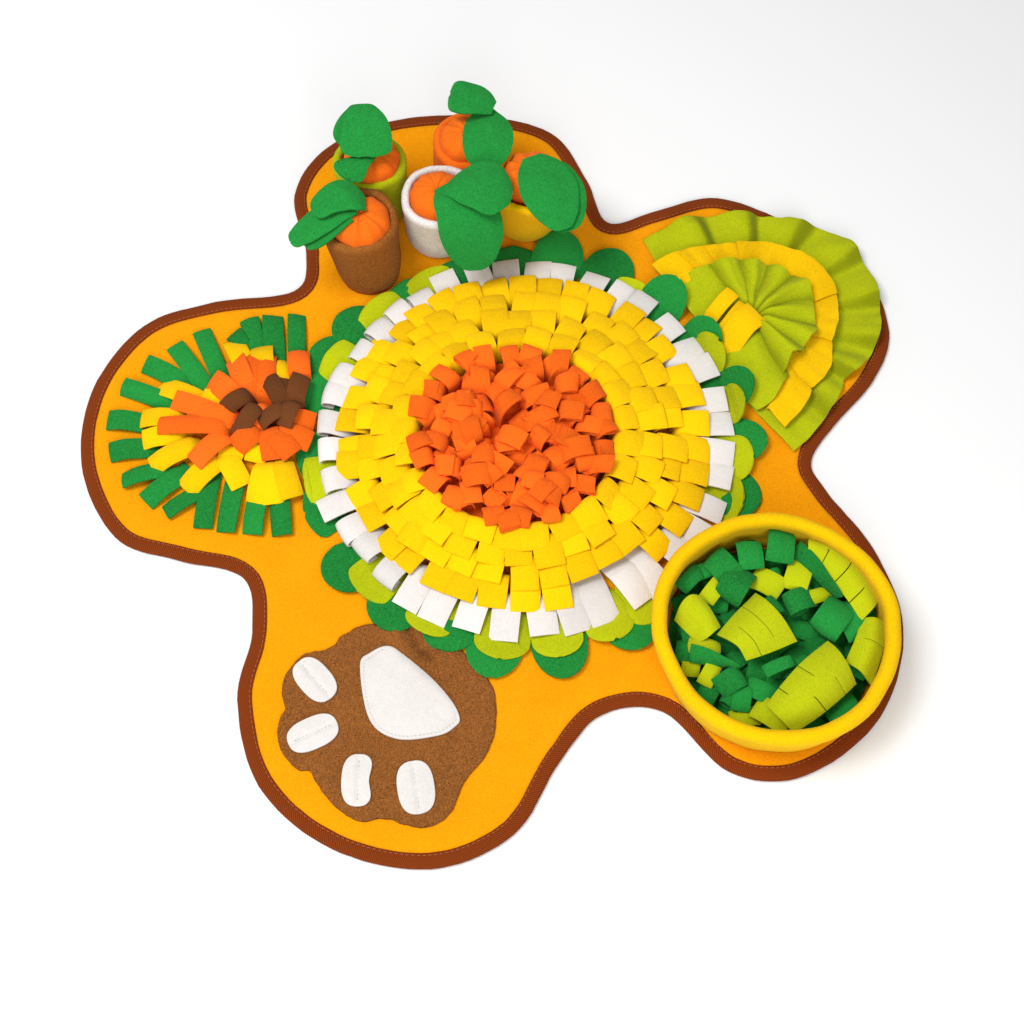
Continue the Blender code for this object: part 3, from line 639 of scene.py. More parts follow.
def cloth(name, cuts, material, thickness, tones_and_shades):
    """Joins cut pieces into one piece of fleece with soft edges, and returns it and its area.

    A cut is a grid of points, or a grid and the mask of its faces that are kept. A cut's tone is one value
    or a value for each of its points: its own tone, and painted shade and painted light where the caller
    gives them."""
    points, faces, tone_and_shade, area, start = [], [], [], 0.0, 0
    for number, cut in enumerate(cuts):
        grid, kept = cut if isinstance(cut, tuple) else (cut, None)
        rows, columns = grid.shape[:2]
        index = start + np.arange(rows * columns).reshape(rows, columns)
        corners = np.stack([index[:-1, :-1], index[1:, :-1], index[1:, 1:], index[:-1, 1:]], axis=-1)
        points.append(grid.reshape(-1, 3))
        faces.append(corners.reshape(-1, 4) if kept is None else corners[kept])
        tone_and_shade += np.broadcast_to(tones_and_shades[number], (rows, columns)).ravel().tolist()
        legs = np.cross(grid[1:, :-1] - grid[:-1, :-1], grid[:-1, 1:] - grid[:-1, :-1])
        area += np.linalg.norm(legs, axis=2).sum() * MM * MM
        start += rows * columns
    piece = add_piece(name, np.concatenate(points), np.concatenate(faces), material)
    piece.data.attributes.new("tone_and_shade", "FLOAT", "POINT").data.foreach_set("value", tone_and_shade)
    solidify = piece.modifiers.new("Thickness", "SOLIDIFY")
    solidify.thickness = thickness * MM
    solidify.offset = 0
    bevel = piece.modifiers.new("Soft edges", "BEVEL")
    bevel.width = 0.3 * thickness * MM
    bevel.segments = 2
    bevel.angle_limit = math.radians(60)
    return piece, area


LEAF_ALONG = [1 - (1 - step / 21) ** 1.7 for step in range(22)]
LEAF_BROADEST, LEAF_REST = 0.58, 0.42  # shares of a leaf's length up to its broadest place, and from there
LEAF_TIP = 0.12


def leaf_share(along):
    """How broad a leaf is at a share of its length: it swells from half its width and ends round."""
    if along < LEAF_BROADEST:
        return 0.5 + 0.5 * math.sin(math.pi / 2 * along / LEAF_BROADEST)
    return max(LEAF_TIP, math.sqrt(max(0.0, 1 - ((along - LEAF_BROADEST) / LEAF_REST) ** 2.3)))


def leaf_circle(name, node, slot, material, leaves, root, level, belly, seed):
    """Leaves that rise from the seam over what lies below them and lie out on the mat or the ruffles."""
    rng = random.Random(seed)
    cuts, tones_and_shades = [], []
    for degrees, reach, *raised in leaves:
        tip = raised[0] if raised else level + rng.uniform(-0.5, 4)
        half_out = ((FLOWER_EDGE + reach) / 2, level + 0.55 * (tip - level))
        profile = ((root, SEAM_ROOT), (root + 8, level - 0.8), (root + 20, level),
                   (FLOWER_EDGE, level + 0.3), half_out, (reach, tip))
        line = radial_line(LEAF_CENTRE, degrees, rng.uniform(-4, 4), profile, LEAF_ALONG)
        swell = (belly + rng.uniform(-4, 2)) * (RAISED_SHARE if raised else 1)
        widths = [swell * leaf_share(along) for along in LEAF_ALONG]
        twist = rng.uniform(-7, 7)
        cuts.append(ribbon(line, degrees + 90, widths, (0, twist), rng.uniform(-1.0, 3.5), 7))
        tones_and_shades.append(rng.uniform(-1, 1))
    piece, area = cloth(name, cuts, material, FLEECE, tones_and_shades)
    sew_on(piece, [node])


green_fleece = fleece("Green fleece", GREEN, 1.3, 0.35)
lime_fleece = fleece("Lime fleece", LIME)
DARK_FORM = (172, 6.2, 52)  # reach of the root, level, width
LIME_FORM = (162, 8.6, 47)
leaf_circle("dark_leaves", "leaf_ring_dark", "fleece_green", green_fleece, DARK_LEAVES, *DARK_FORM, 3)
leaf_circle("lime_leaves", "leaf_ring_lime", "fleece_lime", lime_fleece, LIME_LEAVES, *LIME_FORM, 4)

# ---- the sunflower's petals ----
# One white and four yellow rows of fringed fleece, sewn in rings. Each row lies over the root of the one
# outside it.

# name, node, tabs, centre x, y, reach of the root, height of the bend, reach and height of the tips
PETAL_ROWS = (
    ("white_petals", "petal_ring_white", 40, (8, 2), 152, 13.8, 196, 12.0),
    ("yellow_petals_1", "petal_ring_yellow_1", 38, (9, 3), 137, 20.0, 171, 17.5),
    ("yellow_petals_2", "petal_ring_yellow_2", 34, (7, 1), 118, 26.0, 151, 23.0),
    ("yellow_petals_3", "petal_ring_yellow_3", 30, (5, -2), 100, 31.8, 132, 28.5),
    ("yellow_petals_4", "petal_ring_yellow_4", 25, (2, -6), 86, 37.2, 113, 33.5),
)
PETAL_WIDE = 25.4
# sides of the flower, from and to in degrees
OPEN_PLACE = (282, 311)  # the first yellow row is missing, and shows the white one's roots
ROLLED_SIDE = (115, 262)  # most white tabs roll under
CRUMPLED_SIDE = (150, 265)  # some yellow tabs are crumpled
OPEN_DEPTH = 14  # how much further in the white row is sewn at the open place
YELLOW = (0.95, 0.525, 0.002)
yellow_fleece = fleece("Yellow fleece", YELLOW, 0.8)


def petal_row(name, node, tabs, centre, root, bend, reach, tip, seed):
    """A ring of square tabs that stand up from their seam and fall outwards."""
    rng = random.Random(seed)
    white = node == "petal_ring_white"
    cuts, tones_and_shades = [], []
    for tab in range(tabs):
        degrees = 360 * (tab + 0.5) / tabs + rng.uniform(-1.3, 1.3)
        opened = OPEN_PLACE[0] < degrees < OPEN_PLACE[1]
        if name == "yellow_petals_1" and opened:
            continue
        out = reach + rng.uniform(-3, 3)
        top = bend + (0.7 if tab % 2 else -0.4) + rng.uniform(-0.6, 0.6)
        end = tip + rng.uniform(-2.2, 1.6)
        rolled = white and ROLLED_SIDE[0] < degrees < ROLLED_SIDE[1] and rng.random() < 0.8
        crumpled = not white and CRUMPLED_SIDE[0] < degrees < CRUMPLED_SIDE[1] and rng.random() < 0.3
        foot = root - OPEN_DEPTH if white and opened else root
        if rolled:
            out -= 9
            profile = ((root, SEAM_ROOT), (root + 2, 9.5), (root + 9, 13.5), (out - 13, 18.5),
                       (out - 4, 18), (out, 13.5), (out - 3, 9.4), (out - 11, 9.0))
        else:
            profile = ((foot, SEAM_ROOT), (foot + 1.5, bend * 0.6), (root + 5, top - 1.5),
                       (root + 11, top + 0.3), (root + 0.65 * (out - root), (top * 0.6 + end * 0.4) + 1.0),
                       (out, end))
        line = radial_line(centre, degrees, rng.uniform(-6, 6) * (2.5 if crumpled else 1), profile, 13)
        width = PETAL_WIDE + (-2.2 if rolled else rng.uniform(-1.2, 1.0))
        twist = rng.uniform(-9, 9) * (2.2 if crumpled else 1)
        cuts.append(ribbon(line, degrees + 90, (width * 0.96, width, width, width), (0, twist),
                           rng.uniform(0.3, 1.6) * (2 if crumpled else 1)))
        tones_and_shades.append(rng.uniform(-0.5, 1))
    piece, area = cloth(name, cuts, white_fleece if white else yellow_fleece, FLEECE, tones_and_shades)
    sew_on(piece, [node])


for seed, row in enumerate(PETAL_ROWS, 50):
    petal_row(*row, seed)

# ---- the sunflower's heart ----
# A thick tuft of orange fleece strips sewn close together. They stand up and flop over every way, a few
# as loops, and the outer ones hang over the yellow row round them.
HEART_CENTRE = (-1, -9)
HEART_RADIUS = 62
HEART_PITCH = 13.0
HEART_ROW = 0.87  # distance between rows, as a share of the pitch
HEART_OUTER = 27
HEART_OUTER_REACH = 70.5
HEART_FOLDED = 0.66  # share of the strips that fold back under themselves
HEART_BASE = [(reach, 23) for reach in (84, 70, 56, 42, 28, 14, 4)]  # knotted cloth under it: reach, height
ORANGE = (0.98, 0.138, 0.010)
orange_fleece = fleece("Orange fleece", ORANGE)

rng = random.Random(7)
cuts, tones_and_shades = [], []


def heart_strip(x, y, heading, high, flop, lean):
    """A strip that stands up from a place of the heart, leaning, and flops over in its heading; most fold
    back under themselves at the end."""
    length = high + flop
    stand = high / length
    droop = rng.uniform(-36, 4)
    pitches = ((0, lean), (stand * 0.84, lean - 4), (stand + 0.08, rng.uniform(0, 24)), (1, droop - 8))
    if rng.random() < HEART_FOLDED:
        length += flop * 0.75
        stand, tip = high / length, (high + flop) / length
        pitches = ((0, lean), (stand * 0.86, lean - 4), (stand + 0.06, rng.uniform(0, 20)),
                   (tip - 0.05, droop), (tip + 0.04, droop - 185), (1, droop - 176))
    line = bent_line((HEART_CENTRE[0] + x, HEART_CENTRE[1] + y, SEAM_ROOT), heading, pitches, length, 22)
    width = rng.uniform(15.5, 19.5)
    cuts.append(ribbon(line, heading + 90 + rng.uniform(-14, 14), (width * 0.8, width, width, width),
                       (rng.uniform(-12, 12), rng.uniform(-20, 20)), rng.uniform(-0.8, 1.5)))
    tones_and_shades.append(rng.uniform(-1, 1))


rows = int(HEART_RADIUS / HEART_PITCH) + 2
for i in range(-rows, rows + 1):
    for j in range(-rows, rows + 1):
        x = (i + 0.5 * (j % 2)) * HEART_PITCH + rng.uniform(-2.5, 2.5)
        y = j * HEART_PITCH * HEART_ROW + rng.uniform(-2.5, 2.5)
        outer = math.hypot(x, y) / HEART_RADIUS
        if outer > 1:
            continue
        heading = math.degrees(math.atan2(y, x)) + rng.uniform(-180, 180) * (1.05 - 0.6 * outer)
        high = 31.5 + 3.4 * ((i + 2 * j) % 4) + rng.uniform(-1.2, 1.2)
        heart_strip(x, y, heading, high, rng.uniform(17, 26), 88)
for step in range(HEART_OUTER):
    turn = math.tau * (step + rng.uniform(-0.3, 0.3)) / HEART_OUTER
    x, y = HEART_OUTER_REACH * math.cos(turn), HEART_OUTER_REACH * math.sin(turn)
    heading = math.degrees(turn) + rng.uniform(-32, 32)
    heart_strip(x, y, heading, rng.uniform(35, 40), rng.uniform(16, 22), rng.uniform(82, 90))


def base_cloth(centre, rings, sides, uneven, size):
    """The round cloth under a tuft of strips, as a grid; rings are pairs of reach and height."""
    around = np.linspace(0, math.tau, sides + 1)
    grid = []
    for r, h in rings:
        heights = [h + uneven * rolling(r * math.cos(a), r * math.sin(a), size, 12) for a in around]
        x, y = centre[0] + r * np.cos(around), centre[1] + r * np.sin(around)
        grid.append(np.column_stack([x, y, heights]))
    return np.stack(grid, axis=1)


cuts.append(base_cloth(HEART_CENTRE, HEART_BASE, 48, 2, 9))
# the knotted cloth under the strips takes the darkest tone, -1: painted shade under them
heart, area = cloth("orange_heart", cuts, orange_fleece, FLEECE, tones_and_shades + [-1])
sew_on(heart, ["flower_centre_orange"])

# ---- the oval flower ----
# Fringe in rows of green, yellow, orange and dark brown, sewn round an oval and combed outwards. Each row
# of the tables is one strip: where its tip lies, where it comes out from under the next row, both as x, y.
OVAL_GREEN = (
    ((-254, 133), (-244, 98)), ((-232, 137), (-227, 98)), ((-209, 138), (-206, 98)),
    ((-268, 117), (-256, 98)), ((-299, 120), (-279, 76)), ((-323, 104), (-291, 60)),
    ((-349, 84), (-316, 66)), ((-367, 59), (-322, 41)), ((-377, 23), (-347, 20)), ((-371, -11), (-340, -7)),
    ((-356, -40), (-326, -30)), ((-333, -61), (-306, -36)), ((-314, -72), (-289, -54)),
    ((-279, -87), (-276, -45)), ((-258, -91), (-254, -48)), ((-234, -93), (-232, -63)),
    ((-207, -94), (-211, -63)),
)
OVAL_YELLOW = (
    ((-267, 106), (-253, 78)), ((-239, 99), (-236, 78)), ((-222, 84), (-215, 62)), ((-331, 59), (-299, 43)),
    ((-290, 51), (-274, 37)), ((-345, 23), (-313, 21)), ((-341, 0), (-309, 3)), ((-330, -26), (-297, -9)),
    ((-297, -49), (-274, -26)), ((-262, -29), (-256, -12)), ((-246, -47), (-261, -21)),
    ((-233, -63), (-228, -33)), ((-216, -65), (-220, -33)), ((-199, -59), (-209, -30)),
    ((-237, -22), (-232, -6)),
)
OVAL_ORANGE = (
    ((-203, 92), (-200, 68)), ((-263, 86), (-249, 52)), ((-249, 90), (-241, 51)), ((-234, 88), (-230, 49)),
    ((-282, 62), (-260, 41)), ((-315, 39), (-271, 21)), ((-326, 11), (-270, 10)), ((-290, -27), (-267, -3)),
    ((-184, 17), (-209, 18)), ((-186, -4), (-211, 3)), ((-201, -19), (-218, 0)), ((-220, -22), (-224, 3)),
    ((-235, 2), (-250, 18)), ((-253, -10), (-238, 2)), ((-300, 26), (-262, 18)), ((-236, 16), (-228, 24)),
)
OVAL_BROWN = (
    ((-266, 27), (-248, 38)), ((-252, 1), (-238, 24)), ((-228, 59), (-215, 36)), ((-197, 62), (-201, 38)),
    ((-210, 8), (-204, 28)), ((-232, 12), (-213, 24)), ((-212, 58), (-210, 36)),
)
DARK_BROWN = (0.15, 0.048, 0.014)
# name, node, slot, strips, width, height where it comes out, length hidden under the next row
OVAL_ROWS = (
    ("oval_green", "oval_ring_green", "fleece_green", OVAL_GREEN, 18.5, 8.0, 14),
    ("oval_yellow", "oval_ring_yellow", "fleece_yellow", OVAL_YELLOW, 20.5, 14.5, 12),
    ("oval_orange", "oval_ring_orange", "fleece_orange", OVAL_ORANGE, 20.5, 21.0, 10),
    ("oval_brown", "oval_ring_brown", "fleece_dark_brown", OVAL_BROWN, 18.5, 26.0, 7),
)
OVAL_THICK = 2.4
oval_finish = {"oval_green": green_fleece, "oval_yellow": yellow_fleece, "oval_orange": orange_fleece,
               "oval_brown": fleece("Dark brown fleece", DARK_BROWN)}
for seed, (name, node, slot, strips, wide, level, hidden) in enumerate(OVAL_ROWS, 80):
    rng = random.Random(seed)
    cuts, tones_and_shades = [], []
    for tip, out in strips:
        tip, out = np.array(tip, float), np.array(out, float)
        away = tip - out
        reach = np.linalg.norm(away)
        away /= reach
        root = out - away * hidden
        heading = math.degrees(math.atan2(away[1], away[0]))
        low = max(TOP + 2.0, level - 8 + rng.uniform(-2.0, 5.0))
        rise, fall = root + away * hidden * 0.45, out + away * reach * 0.55
        spine = ((*root, SEAM_ROOT), (*rise, level * 0.72), (*out, level),
                 (*fall, (level + low) / 2 + 2.5 + rng.uniform(-1, 1.5)), (*tip, low))
        width = wide + rng.uniform(-1.8, 1.8)
        across_at = heading + 90 + rng.uniform(-7, 7)
        cuts.append(ribbon(smooth_line(spine, 12), across_at, (width * 0.95, width, width),
                           (0, rng.uniform(-20, 20)), rng.uniform(0.2, 3.2)))
        tones_and_shades.append(rng.uniform(-1, 1))
    piece, area = cloth(name, cuts, oval_finish[name], OVAL_THICK, tones_and_shades)
    sew_on(piece, [node])
    length = len(strips) * wide * MM

# ---- the ruffles ----
# Three bands of fleece, lime, yellow and lime, each gathered about one point into pleats that billow and
# lie over each other. A fold's sign says which side lies on top: 1 the side before it, going anticlockwise,
# -1 the other.
GATHER = (226, 128)
OUTER_EDGE = (
    (-77, 141), (-70, 134), (-60, 122), (-36, 106), (-19, 118), (8, 129), (21, 132), (37, 139), (54, 135),
    (71, 125), (86, 127), (110, 129), (135, 138),
)
OUTER_FOLDS = ((-52, -1), (-30, -1), (-8, -1), (14, -1), (38, -1), (64, -1), (88, -1), (113, -1))
YELLOW_EDGE = (
    (-79, 120), (-63, 100), (-59, 92), (-45, 92), (-33, 87), (-22, 79), (-10, 80), (2, 84), (18, 88),
    (27, 90), (44, 91), (62, 88), (77, 86), (96, 85), (113, 89), (130, 98), (146, 111),
)
YELLOW_FOLDS = ((-60, 1), (-18, -1), (20, -1), (97, 1), (114, 1), (131, 1))
INNER_EDGE = (
    (-90, 98), (-80, 91), (-71, 77), (-56, 58), (-44, 61), (-35, 59), (-25, 62), (-11, 61), (0, 58),
    (18, 62), (33, 63), (50, 57), (70, 58), (88, 58), (104, 61), (124, 67), (146, 82),
)
INNER_FOLDS = ((-66, -1), (-40, -1), (-14, 1), (17, -1), (43, 1), (69, 1), (95, 1), (122, 1))
# name, node, material, edge, folds, share of the reach at which it starts inside and at its cut ends, how
# far the ends slant back to their roots in degrees, level, overlap at a fold, step over it, dome of a
# billow, wave
RUFFLES = (
    (
        "lime_ruffle_outer", "ruffle_lime_outer", lime_fleece, OUTER_EDGE, OUTER_FOLDS, (0.55, 0.58),
        (19, 16), 6.4, 0.0, 0.0, 1.5, 13.0,
    ),
    (
        "yellow_ruffle", "ruffle_yellow", yellow_fleece, YELLOW_EDGE, YELLOW_FOLDS, (0.44, 0.78), (7, 6),
        16.5, 4.5, 3.4, 2.0, 2.5,
    ),
    (
        "lime_ruffle_inner", "ruffle_lime_inner", lime_fleece, INNER_EDGE, INNER_FOLDS, (0.10, 0.30),
        (62, 66), 20.0, 4.5, 2.4, 10.0, 2.0,
    ),
)
PLEAT_STEPS = 18
RUFFLE_ROWS = 18
WAVE_LOW = 0.68
RISING_SHARE = 0.22  # part of a band's depth over which it rises from its seam
MOST_LAP = 0.10  # widest overlap at a fold, as a share of the reach
DEEP_DOME = 5  # a billow higher than this sinks at the band's cut ends


def pleat_line(edge_table, folds, lapped):
    """For each column of points across a ruffle: its angle, overlap, step in height, share of the way from
    the nearest fold to the top of the billow, height of the wave, steepness, and part in each cut end."""
    stops = [(edge_table[0][0], 0)] + list(folds) + [(edge_table[-1][0], 0)]
    columns = []
    for number, ((a, side_a), (b, side_b)) in enumerate(zip(stops, stops[1:])):
        start = 1.0 if side_a == -1 else 0.0
        end = 1.0 if side_b == 1 else 0.0
        for step in range(PLEAT_STEPS + (side_b == 0)):
            share = step / PLEAT_STEPS
            soft = share * share * (3 - 2 * share)
            lap = (lapped if side_b else 0) * share**5 - (lapped if side_a else 0) * (1 - share) ** 5
            near = min(1, 2 * share if side_a else 1, 2 * (1 - share) if side_b else 1)
            fall = 0.5 + 0.5 * math.cos(math.pi * min(1, share / WAVE_LOW)) if side_a else 0.25
            climb = max(0.0, (share - WAVE_LOW) / (1 - WAVE_LOW)) if side_b else 0.0
            wave = max(fall, 0.5 - 0.5 * math.cos(math.pi * climb))
            ends = ((1 - share) * (number == 0), share * (number == len(stops) - 2))
            columns.append((a + (b - a) * share, lap, start + (end - start) * soft, near, wave,
                            math.sin(math.pi * climb), ends))
    return columns


for seed, ruffle in enumerate(RUFFLES):
    name, node, material, reaches, folds, inner, slant, level, lapped, rise, dome, wavy = ruffle
    # per-point painted shade for the ruffle's creases, passed on as its tone
    grid, nap_and_crease_shade = [], []
    for row in range(RUFFLE_ROWS + 1):
        out = row / RUFFLE_ROWS
        line, shades = [], []
        for degrees, lap, height, near, wave, steep, ends in pleat_line(reaches, folds, lapped):
            inside = inner[0] + (inner[1] - inner[0]) * max(ends) ** 2
            radius = np.interp(degrees, *zip(*reaches)) * (inside + (1 - inside) * out)
            slanted = degrees + (1 - out) ** 1.2 * (slant[1] * ends[1] - slant[0] * ends[0])
            turn = math.radians(slanted) + math.copysign(min(abs(lap), MOST_LAP * radius), lap) / radius
            turn += 3.0 * rolling(degrees, radius, 30, seed + 20) / radius
            uneven = 1 + 0.9 * rolling(degrees, radius * 0.4, 21, seed + 30)
            lifted = (level - TOP - 1.0) * (1 - 0.55 * max(ends) * (dome > DEEP_DOME))
            z = TOP + 1.0 + lifted * math.sin(min(1.0, out / RISING_SHARE) * math.pi / 2)
            swing = wavy * uneven * wave * min(1.0, 0.05 + 1.3 * out**1.3) * (1 - 0.4 * out**3)
            z += rise * height * (0.35 + 0.65 * out) + swing
            z += dome * uneven * (1 - (1 - near) ** 1.8) * (1 - max(ends))
            z += 2.2 * out * rolling(degrees * 1.6, radius * 0.3, 9, seed + 34)
            radius += 1.6 * out * rolling(degrees, 0, 8, seed + 40)
            line.append((GATHER[0] + radius * math.cos(turn), GATHER[1] + radius * math.sin(turn), z))
            # painted shade: darker in the pleats' valleys and on the steep side of each wave, where shade
            # falls
            shades.append(-0.4 * dome * (1 - near) ** 3 - 0.22 * wavy * steep * uneven)
        grid.append(line)
        nap_and_crease_shade.append(shades)
    grid = np.array(grid)
    piece, area = cloth(name, [grid], material, FLEECE, [np.array(nap_and_crease_shade)])
    sew_on(piece, [node])
    length = np.linalg.norm(np.diff(grid[-1], axis=0), axis=1).sum() * MM

# Three yellow tabs stick out over the ruffles' gather: middle line, width and the width's direction.
RUFFLE_TABS = (
    (((176, 115, 8), (184, 123, 14), (191, 131, 22), (200, 140, 29), (209, 150, 28.5)), 15, 134),
    (((184, 98, 8), (193, 106, 14), (201, 114, 23), (210, 124, 30), (219, 135, 29)), 14, 134),
    (((190, 85, 8), (199, 95, 14), (207, 104, 23), (217, 115, 31), (230, 126, 29.5)), 27, 134),
)
cuts = [ribbon(smooth_line(spine, 12), across_at, (wide * 0.95, wide, wide), (0, 4), 1.2)
        for spine, wide, across_at in RUFFLE_TABS]
tabs, area = cloth("ruffle_yellow_tabs", cuts, yellow_fleece, FLEECE, [0.2, -0.4, 0.1])
sew_on(tabs, ["ruffle_tabs_yellow"])

# ---- the bowl ----
# A soft yellow wall sewn to the mat, with a padded turned-over hem. It is filled with cut strips of dark
# green and lime.
BOWL_FOOT = (222, -195)
BOWL_RIM = (218, -198)
BOWL_HIGH = 63.0
BOWL_SECTION = (
    (91.0, 4.7), (91.6, 16), (92.6, 34), (92.8, 46), (91.8, 50), (90.6, 54), (90.8, 58.8), (92.4, 62.4),
    (95.4, 64.2), (99.4, 63.8), (102.4, 61.4), (103.8, 57.4), (103.7, 52.6), (102.4, 49), (101.8, 46.5),
    (101.2, 42), (99.6, 28), (97.8, 14), (96.5, 4.7),
)
BOWL_SIDES = 112
BOWL_SAG = 3.2
SHEET_ROWS = 12
SHEET_COLUMNS = 12
SLIT_CLEAR = 0.03  # share of a sheet beside a slit that is kept free of other columns
SLIT_HALF = 0.005


def leaning(foot, rim, share, x, y):
    """The place x, y from the middle of a form that leans from foot to rim, at a share of its height."""
    return foot[0] + (rim[0] - foot[0]) * share + x, foot[1] + (rim[1] - foot[1]) * share + y


def soft_wall(foot, rim, high, section, sides, sag, seed, dip=0.0):
    """Rings of a sewn wall that is slightly out of round and dips and bulges as soft cloth does.

    section has pairs of radius and height, and sag is how uneven the wall is. dip is how far the side away
    from the viewer sinks and leans in at the rim."""
    rings = []
    for radius, z in section:
        share = z / high
        ring = []
        for a in turns(sides):
            x, y = math.cos(a), math.sin(a)
            wave = sag * share * rolling(x * 1.3, y * 1.3, 1, seed)
            wave += 0.3 * sag * rolling(x * 5, y * 5, 1, seed + z / 40)
            sink = dip * share * max(0.0, y) ** 1.5
            rise = 0.6 * sag * share * rolling(x * 1.9, y * 1.9, 1, seed + 9) - sink
            r = radius + wave - 0.5 * sink
            ring.append((*leaning(foot, rim, share, r * x, r * y), z + rise))
        rings.append(ring)
    return rings


def cut_sheet(spines, slits):
    """A cut sheet laid over smooth lines, as a grid and the faces kept; each line is one cross section.

    A slit is its share from the first line to the last, and the shares of a line between which it is
    open."""
    shares = [share for share in np.linspace(0, 1, SHEET_COLUMNS)
              if all(abs(share - slit[0]) > SLIT_CLEAR for slit in slits)]
    shares = sorted(shares + [slit[0] + side for slit in slits for side in (-SLIT_HALF, SLIT_HALF)])
    sections = np.array([smooth_line(spine, SHEET_ROWS) for spine in spines])
    grid = smooth_line(sections, np.array(shares)).transpose(1, 0, 2)
    kept = np.ones((SHEET_ROWS - 1, len(shares) - 1), bool)
    for at, first, last in slits:
        column = int(np.searchsorted(shares, at)) - 1
        kept[int(first * (SHEET_ROWS - 1)):int(last * (SHEET_ROWS - 1)), column] = False
    return grid.copy(), kept


wall_rings = soft_wall(BOWL_FOOT, BOWL_RIM, BOWL_HIGH, BOWL_SECTION, BOWL_SIDES, BOWL_SAG, 11)
wall = add_piece("bowl_yellow", *lofted([ring[::-1] for ring in wall_rings], None, None), yellow_fleece)
sew_on(wall, ["bowl_wall"])

# Each lime sheet: cross sections as lines of x, y, z, then its slits.
LIME_MIDDLE = (
    (((172, -199, 36), (180, -207, 45), (188, -214, 46), (194, -223, 40)),
     ((188, -181, 38), (196, -192, 48), (206, -204, 50), (214, -217, 43)),
     ((207, -162, 38), (215, -174, 49), (226, -189, 50), (238, -206, 40))),
    ((0.33, 0.3, 1.0), (0.68, 0.0, 0.9)),
)
LIME_FRONT = (
    (((208, -262, 40), (213, -270, 45), (221, -278, 44), (229, -285, 38)),
     ((222, -245, 44), (230, -254, 51), (241, -263, 51), (251, -271, 42)),
     ((240, -226, 45), (250, -236, 52), (261, -246, 52), (270, -256, 43)),
     ((264, -206, 40), (270, -216, 47), (277, -229, 47), (284, -243, 39))),
    ((0.27, 0.0, 0.35), (0.6, 0.0, 0.45), (0.42, 0.7, 1.0), (0.74, 0.72, 1.0)),
)
LIME_CHAIN = (
    (((256, -112, 41), (254, -119, 46), (254, -129, 44)),
     ((273, -118, 43), (268, -128, 48), (262, -139, 45)),
     ((291, -131, 43), (283, -143, 49), (272, -154, 45)),
     ((303, -150, 41), (295, -161, 47), (284, -171, 43)),
     ((311, -168, 38), (304, -178, 43), (294, -188, 40))),
    ((0.27, 0.35, 1.0), (0.52, 0.2, 1.0), (0.77, 0.45, 1.0)),
)
LIME_RIGHT = (
    (((295, -185, 38), (305, -186, 43), (315, -189, 37)),
     ((288, -203, 40), (299, -207, 46), (310, -212, 39)),
     ((278, -223, 36), (288, -233, 42), (298, -243, 34))),
    ((0.5, 0.35, 1.0),),
)
LIME_LEFT = (
    (((137, -184, 32), (142, -173, 42), (150, -166, 45), (160, -166, 41)),
     ((146, -196, 35), (153, -186, 44), (160, -179, 46), (168, -180, 41)),
     ((156, -205, 32), (164, -202, 39), (170, -197, 41), (175, -192, 36))),
    (),
)
# name, node, sheets, then loose tabs: middle x, y, height, direction, width, length
BOWL_LIME = (
    ("bowl_lime_middle", "bowl_cut_lime_1", (LIME_MIDDLE,), ()),
    ("bowl_lime_front", "bowl_cut_lime_2", (LIME_FRONT,), ()),
    ("bowl_lime_right", "bowl_cut_lime_3", (LIME_CHAIN, LIME_RIGHT), ()),
    ("bowl_lime_left", "bowl_cut_lime_4", (LIME_LEFT,), (
        (171, -159, 38, 50, 15, 30), (215, -149, 36, -30, 22, 30), (244, -147, 37, 70, 22, 30),
        (258, -163, 33, 15, 13, 26), (158, -207, 33, -15, 15, 28), (210, -266, 36, -35, 22, 34),
        (164, -232, 30, 60, 14, 26), (190, -268, 26, 10, 16, 26), (150, -222, 24, 80, 16, 24),
    )),
)
# Dark green strips: middle x, y, height, direction, width, length, and whether it lies, rolls or stands.
BOWL_GREEN = (
    (182, -142, 43, 128, 24, 30, "lies"), (204, -131, 44, 95, 22, 26, "lies"),
    (230, -124, 46, 80, 24, 30, "lies"), (257, -137, 43, -55, 16, 58, "stands"),
    (186, -160, 46, 238, 25, 66, "rolls"), (150, -150, 38, 45, 14, 26, "lies"),
    (161, -141, 35, 20, 14, 24, "lies"), (240, -168, 37, 200, 20, 56, "rolls"),
    (266, -190, 45, 232, 27, 70, "rolls"), (283, -182, 40, -60, 24, 36, "lies"),
    (218, -229, 43, 22, 11, 28, "lies"), (163, -218, 35, -20, 16, 40, "stands"),
    (186, -236, 36, 30, 20, 50, "rolls"), (189, -256, 33, 80, 16, 22, "lies"),
    (204, -246, 33, -30, 18, 34, "lies"), (228, -146, 33, 20, 20, 44, "rolls"),
    (236, -228, 32, 150, 20, 46, "rolls"), (182, -250, 30, 140, 18, 44, "rolls"),
    (150, -188, 30, 100, 18, 40, "rolls"), (147, -205, 28, 80, 18, 40, "rolls"),
    (297, -170, 33, 110, 18, 42, "rolls"), (270, -262, 30, 30, 18, 30, "lies"),
    (292, -222, 28, 60, 18, 30, "lies"), (222, -172, 38, 30, 18, 42, "rolls"),
)
LOOSE_BENDS = {
    "lies": ((0, 48), (0.28, 16), (0.7, -10), (1, -42)),
    "rolls": ((0, 42), (0.28, 14), (0.45, -35), (0.62, -120), (0.8, -205), (1, -285)),
    "stands": ((0, 25), (0.3, 12), (0.55, -10), (0.8, 6), (1, -30)),
}


